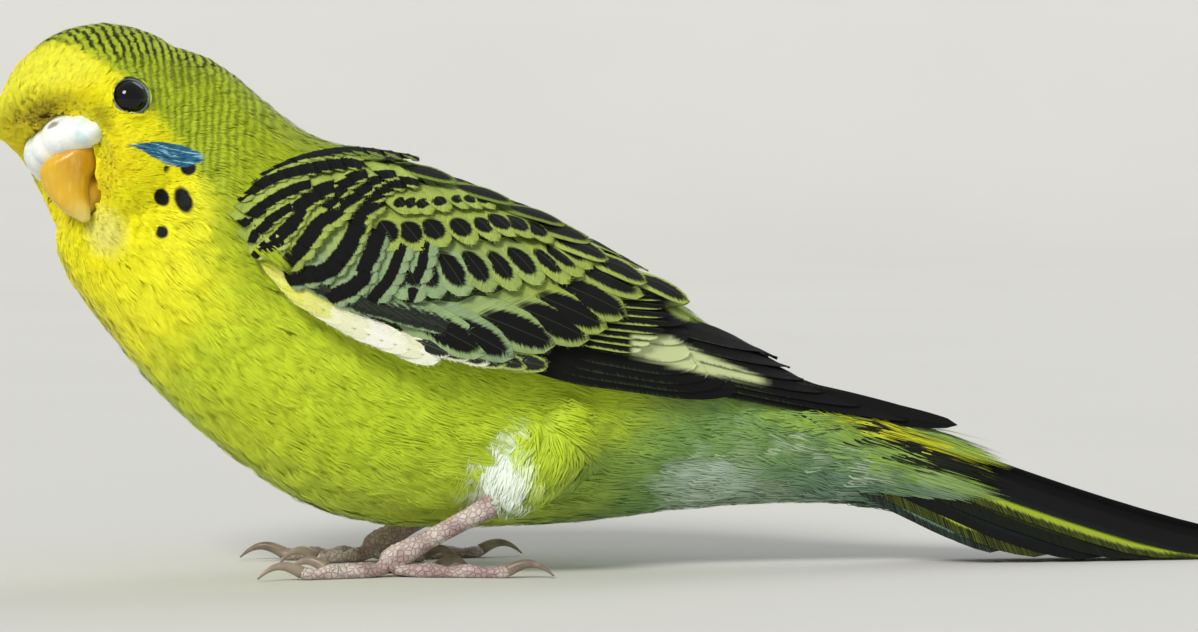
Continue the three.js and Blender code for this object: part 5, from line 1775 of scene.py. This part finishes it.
@dataclass
class Feet:
    """The scaly feet with their claws, in millimetres."""

    place: Place
    spread: float = 12.0
    knuckle: tuple = (-28.4, 1.45)
    ankle: tuple = (-15.0, 9.2)
    toes: tuple = (
        Toe("front_outer", 14, 12.5, 6.2, 1.05),
        Toe("front_inner", -22, 9.0, 5.4, 0.95),
        Toe("back_outer", 166, 16.0, 6.2, 1.0),
        Toe("back_inner", -157, 7.5, 5.0, 0.9),
    )
    scute: float = 0.95  # length of one plate on a toe
    floor: float = 0.03  # nothing lies lower than this
    # places on a shank, as shares of its length, with its radius there
    shank: tuple = ((0, 1.7), (0.3, 1.32), (0.6, 1.25), (0.86, 1.75), (0.95, 1.5), (1, 0.7))

    def way(self, toe: Toe, side: int) -> Array:
        """The direction of a toe."""
        turn = math.radians(toe.turn)
        return np.array([-math.cos(turn), side * math.sin(turn), 0])

    def base(self, side: int) -> Array:
        """Where the toes of one foot meet, on the floor."""
        return np.array([self.knuckle[0], side * self.spread, 0])

    def rings(self, path: Array, radii: Array, flat: float) -> list[Array]:
        """Rings of one scaly length, with a raised plate at every step."""
        plates = np.abs(np.sin(run_of(path) / self.scute * math.pi)) ** 0.6
        rings = []
        for ring, spot, plate in zip(tube_rings(path, radii, 20, flat), path, plates):
            way = ring - spot
            upper = smooth(-0.1, 0.5, way[:, 2] / np.abs(way).max())
            swollen = 1 + (plate - 0.6) * 0.11 * upper
            shaped = spot + way * swollen[:, None]
            shaped[:, 2] = np.maximum(shaped[:, 2], self.floor)
            rings.append(self.place.out(shaped))
        return rings

    def build(self, skin: Material, horn: Material) -> None:
        """Makes both feet, with the finishes of their skin and of their claws."""
        for side, word in SIDE_WORD.items():
            self.leg(side, word, skin)
            for toe in self.toes:
                self.toe(toe, side, word, skin)
                self.claw(toe, side, word, horn)

    def piece(self, name: str, node: str, slot: str, rings: list, material: Material) -> None:
        """Makes one lofted piece and hides the solid it stands for."""
        bm = bmesh.new()
        loft(bm, rings)
        made = finished(name, bm, material)
        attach(made, "root")
        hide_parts(node)

    def leg(self, side: int, word: str, material: Material) -> None:
        """Makes one bare shank with the pad under it."""
        start = np.array([self.ankle[0] + 1.4, side * self.spread, self.ankle[1] + 0.8])
        end = np.array([self.knuckle[0] - 1.2, side * self.spread, self.knuckle[1] + 0.1])
        share = np.linspace(0, 1, 44)
        path = mix(start, end, share[:, None])
        radii = np.interp(share, *zip(*self.shank))
        rings = self.rings(path, radii, 1.0)
        self.piece(f"scaly_shank_{word}", f"shank_{word}", "foot_skin", rings, material)

    def toe(self, toe: Toe, side: int, word: str, material: Material) -> None:
        """Makes one toe with its swollen joints."""
        share = np.linspace(0.06, 1.02, 56)
        swell = 1 + 0.13 * np.cos(share * 3 * math.tau)
        radii = toe.radius * mix(1.08, 0.84, share) * swell
        radii[-3:] *= [0.95, 0.85, 0.6]
        path = self.base(side) + self.way(toe, side) * (share * toe.length)[:, None]
        path[:, 2] = radii * 0.86 + 2.0 * np.maximum(0, 0.25 - share)
        rings = self.rings(path, radii, 0.92)
        name = f"{toe.name}_{word}"
        self.piece(f"scaly_toe_{name}", f"toe_{name}", "foot_skin", rings, material)

    def claw(self, toe: Toe, side: int, word: str, material: Material) -> None:
        """Makes one curved claw."""
        way = self.way(toe, side)
        share = np.linspace(0, 1, 22)
        start = self.base(side) + way * toe.length
        path = start + way * (share * toe.claw)[:, None]
        path[:, 2] = 1.0 + 1.5 * np.sin(share * math.pi * 0.75) - 1.72 * share**2
        radii = mix(0.74, 0.1, share**1.25)
        rings = [self.place.out(ring) for ring in tube_rings(path, radii, 14, 1.15)]
        name = f"{toe.name}_{word}"
        self.piece(f"horn_claw_{name}", f"claw_{name}", "claw", rings, material)


@dataclass(frozen=True)
class HornFinish:
    """The waxy horn of the bill."""

    base: tuple = srgb(222, 176, 38)
    pale: tuple = srgb(240, 216, 116)
    deep: tuple = srgb(202, 138, 14)

    def build(self, name: str, place: Place) -> Material:
        """Makes the finish."""
        graph = Graph(name)
        at = graph.own(graph.here(), place)
        _, left, up = head_parts(graph, at)
        grain = graph.noise(graph.vector("MULTIPLY", "Vector", at, (1.6, 1.6, 0.4)), 1.0, 4.0)
        colour = graph.blend(up.rise(-9.5, -13.0), self.base, self.pale)
        colour = graph.blend(abs(left).rise(2.0, 4.4) * 0.6, colour, self.deep)
        colour = graph.blend((grain - 0.5).rise(0.0, 0.25) * 0.35, colour, self.pale)
        sockets = {"Base Color": colour, "Roughness": grain * 0.2 + 0.2, "Subsurface Weight": 0.08}
        sockets |= {"Subsurface Radius": (0.001, 0.0008, 0.0003), "Subsurface Scale": 1.0}
        return graph.finish(sockets, grain, 0.00006)


@dataclass(frozen=True)
class CereFinish:
    """The pale bluish skin over the bill, with painted shade in the nostril openings."""

    base: tuple = srgb(246, 248, 242)
    blue: tuple = srgb(186, 222, 230)
    nostril_shade: tuple = srgb(120, 104, 108)
    nostril: tuple = (11.3, 4.5, 0.1)  # forward, aside and up
    nostril_radii: tuple = (1.2, 1.1, 0.5)

    def build(self, name: str, place: Place) -> Material:
        """Makes the finish."""
        graph = Graph(name)
        at = graph.own(graph.here(), place)
        cloud = graph.noise(at, 0.45, 3.0)
        fine = graph.noise(at, 1.6, 3.0) - 0.5
        colour = graph.blend((cloud + fine * 0.3).rise(0.42, 0.72) * 0.6, self.base, self.blue)
        for side in (LEFT, RIGHT):
            spot = HEAD.world(np.array(self.nostril) * [1, side, 1])
            parts = zip(head_parts(graph, at, spot), self.nostril_radii)
            f, a, u = ((part / size) ** 2.0 for part, size in parts)
            reach = f + a + u
            # painted shade of the nostril opening, which has no hole in the form
            colour = graph.blend((reach + fine * 1.2).rise(1.3, 0.2) * 0.8, colour, self.nostril_shade)
        sockets = {"Base Color": colour, "Roughness": 0.5, "Subsurface Weight": 0.15}
        sockets |= {"Subsurface Radius": (0.0015, 0.001, 0.001), "Subsurface Scale": 1.0}
        return graph.finish(sockets, graph.noise(at, 3.0, 4.0), 0.00006)


@dataclass(frozen=True)
class BareSkinFinish:
    """Dry scaly skin, for the feet and the lids."""

    base: tuple
    pale: tuple
    groove: tuple
    scale: float = 1300.0

    def build(self, name: str) -> Material:
        """Makes the finish."""
        graph = Graph(name)
        here = graph.here()
        sockets = {"Vector": here, "Scale": self.scale}
        cell = graph.node("ShaderNodeTexVoronoi", {"feature": "DISTANCE_TO_EDGE"}, sockets)
        edge = Value(graph, cell.outputs["Distance"])
        cloud = graph.noise(here, 300.0, 3.0)
        colour = graph.blend(cloud.rise(0.4, 0.62), self.base, self.pale)
        colour = graph.blend(edge.rise(0.1, 0.0) * 0.35, colour, self.groove)
        sockets = {"Base Color": colour, "Roughness": 0.6, "Specular IOR Level": 0.35}
        return graph.finish(sockets, edge.rise(0.0, 0.16), 0.00012)


@dataclass(frozen=True)
class GlossFinish:
    """A smooth glossy surface with slight unevenness, for eyes and claws."""

    base: tuple
    other: tuple
    rough: float
    scale: float
    coat: float = 0.0

    def build(self, name: str) -> Material:
        """Makes the finish."""
        graph = Graph(name)
        cloud = graph.noise(graph.here(), self.scale, 3.0)
        colour = graph.blend(cloud.rise(0.35, 0.68), self.base, self.other)
        sockets = {"Base Color": colour, "Roughness": self.rough, "Coat Weight": self.coat}
        sockets |= {"Coat Roughness": 0.03, "Specular IOR Level": 0.3}
        return graph.finish(sockets, cloud, 0.00001)


@dataclass
class Studio:
    """The floor, the soft light and the camera at the photograph's place."""

    place: Place
    target: tuple = (0.0, -12.0, 34.97)
    azimuth: float = -8.0
    elevation: float = 2.5
    distance: float = 700.0
    lens: float = 155.8
    sensor: float = 36.0
    floor_x: tuple = (-3.0, 3.0)  # the floor's edges, in metres
    floor_y: tuple = (-2.0, 1.2)
    bend: float = 0.8  # radius of its rise behind the bird, in metres
    suns: tuple = (
        ("key", (-0.62, -0.8, 0.8), 0.35, 2.3, (1.0, 0.98, 0.94)),
        ("rim", (0.5, 0.6, 0.7), 0.6, 0.5, (0.96, 0.98, 1.0)),
    )
    sky: tuple = (0.95, 0.97, 1.0, 1.0)
    sky_strength: float = 0.5

    def camera(self) -> None:
        """Makes the camera."""
        data = bpy.data.cameras.new("camera")
        data.lens = self.lens
        data.sensor_width = self.sensor
        data.clip_start = 0.01
        made = placed("camera", data)
        turn, rise = math.radians(self.azimuth), math.radians(self.elevation)
        back = Vector((math.sin(turn) * math.cos(rise), -math.cos(turn) * math.cos(rise), math.sin(rise)))
        aim = Vector(self.place.out(np.array(self.target)))
        made.location = aim + back * self.distance * MM
        made.rotation_euler = (-back).to_track_quat("-Z", "Y").to_euler()
        bpy.context.scene.camera = made

    def floor(self) -> None:
        """Makes the pale floor, which curves up behind the bird."""
        graph = Graph("pale_floor")
        cloud = graph.noise(graph.here(), 6.0, 4.0)
        colour = graph.blend(cloud, srgb(206, 205, 200), srgb(214, 213, 208))
        material = graph.finish({"Base Color": colour, "Roughness": 0.8})
        bm = bmesh.new()
        left, right = self.floor_x
        strip = [bm.verts.new((left, y, 0.0)) for y in self.floor_y]
        bm.edges.new(strip)
        middle = (left, self.floor_y[1], self.bend)
        bmesh.ops.spin(
            bm, geom=strip[-1:], cent=middle, axis=(1, 0, 0), angle=math.radians(80), steps=20
        )
        bmesh.ops.remove_doubles(bm, verts=bm.verts, dist=1e-5)
        widened = bmesh.ops.extrude_edge_only(bm, edges=list(bm.edges))["geom"]
        moved = [item for item in widened if isinstance(item, bmesh.types.BMVert)]
        bmesh.ops.translate(bm, verts=moved, vec=(right - left, 0, 0))
        bmesh.ops.recalc_face_normals(bm, faces=bm.faces)
        made = finished("floor", bm, material)

    def sun(self, name: str, spot: tuple, spread: float, power: float, colour: tuple) -> None:
        """Adds one soft distant light at a spot, which looks some radians wide."""
        data = bpy.data.lights.new(name, "SUN")
        data.angle = spread
        data.energy = power
        data.color = colour
        made = placed(name, data)
        made.rotation_euler = (-Vector(spot)).to_track_quat("-Z", "Y").to_euler()

    def build(self) -> None:
        """Makes the camera, the floor and the light."""
        self.camera()
        self.floor()
        for sun in self.suns:
            self.sun(*sun)
        world = bpy.data.worlds.new("studio")
        bpy.context.scene.world = world
        world.use_nodes = True
        shade = world.node_tree.nodes["Background"]
        shade.inputs["Color"].default_value = self.sky
        shade.inputs["Strength"].default_value = self.sky_strength
        bpy.context.scene.view_settings.view_transform = "Standard"


def main() -> None:
    """Builds the bird and its studio in order."""
    logging.basicConfig(level=logging.INFO, format="%(name)s: %(message)s")
    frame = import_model()
    place = Place.found()
    anatomy = Anatomy()
    Studio(place).build()
    plumage = Plumage()
    skin = Skin(place, anatomy)
    skin.build(frame["nodes"], plumage.build("feathered_skin", place, False))
    Coat(skin, anatomy, place).build(plumage.build("small_feathers", place, True))
    feathers = LargeFeathers()
    vanes = FeatherFinish().build("large_feathers")
    Wings(place, feathers).build(vanes)
    Tail(place, feathers).build(vanes)
    face = Face(place)
    lids = BareSkinFinish(srgb(128, 146, 160), srgb(166, 184, 194), srgb(70, 84, 96), 2200.0)
    face.eyes(
        GlossFinish(srgb(3, 3, 4), srgb(7, 5, 5), 0.07, 500.0, 0.1).build("wet_eye"),
        lids.build("lid_skin"),
    )
    horn = HornFinish().build("bill_horn", place)
    face.upper_bill(horn)
    face.rounded(face.chin_shapes, "bill_lower", "bill_chin", horn, 6)
    lobes = [((f, a * out, u), r, t) for (f, a, u), r, t in face.cere_lobe for out in face.cere_out]
    face.rounded(lobes, "cere", "waxy_cere", CereFinish().build("cere_skin", place), 24)
    scales = BareSkinFinish(srgb(176, 150, 146), srgb(214, 200, 192), srgb(112, 84, 80))
    claws = GlossFinish(srgb(120, 104, 92), srgb(160, 146, 128), 0.32, 260.0)
    Feet(place).build(scales.build("scaly_skin"), claws.build("claw_horn"))


if __name__ == "__main__":
    main()
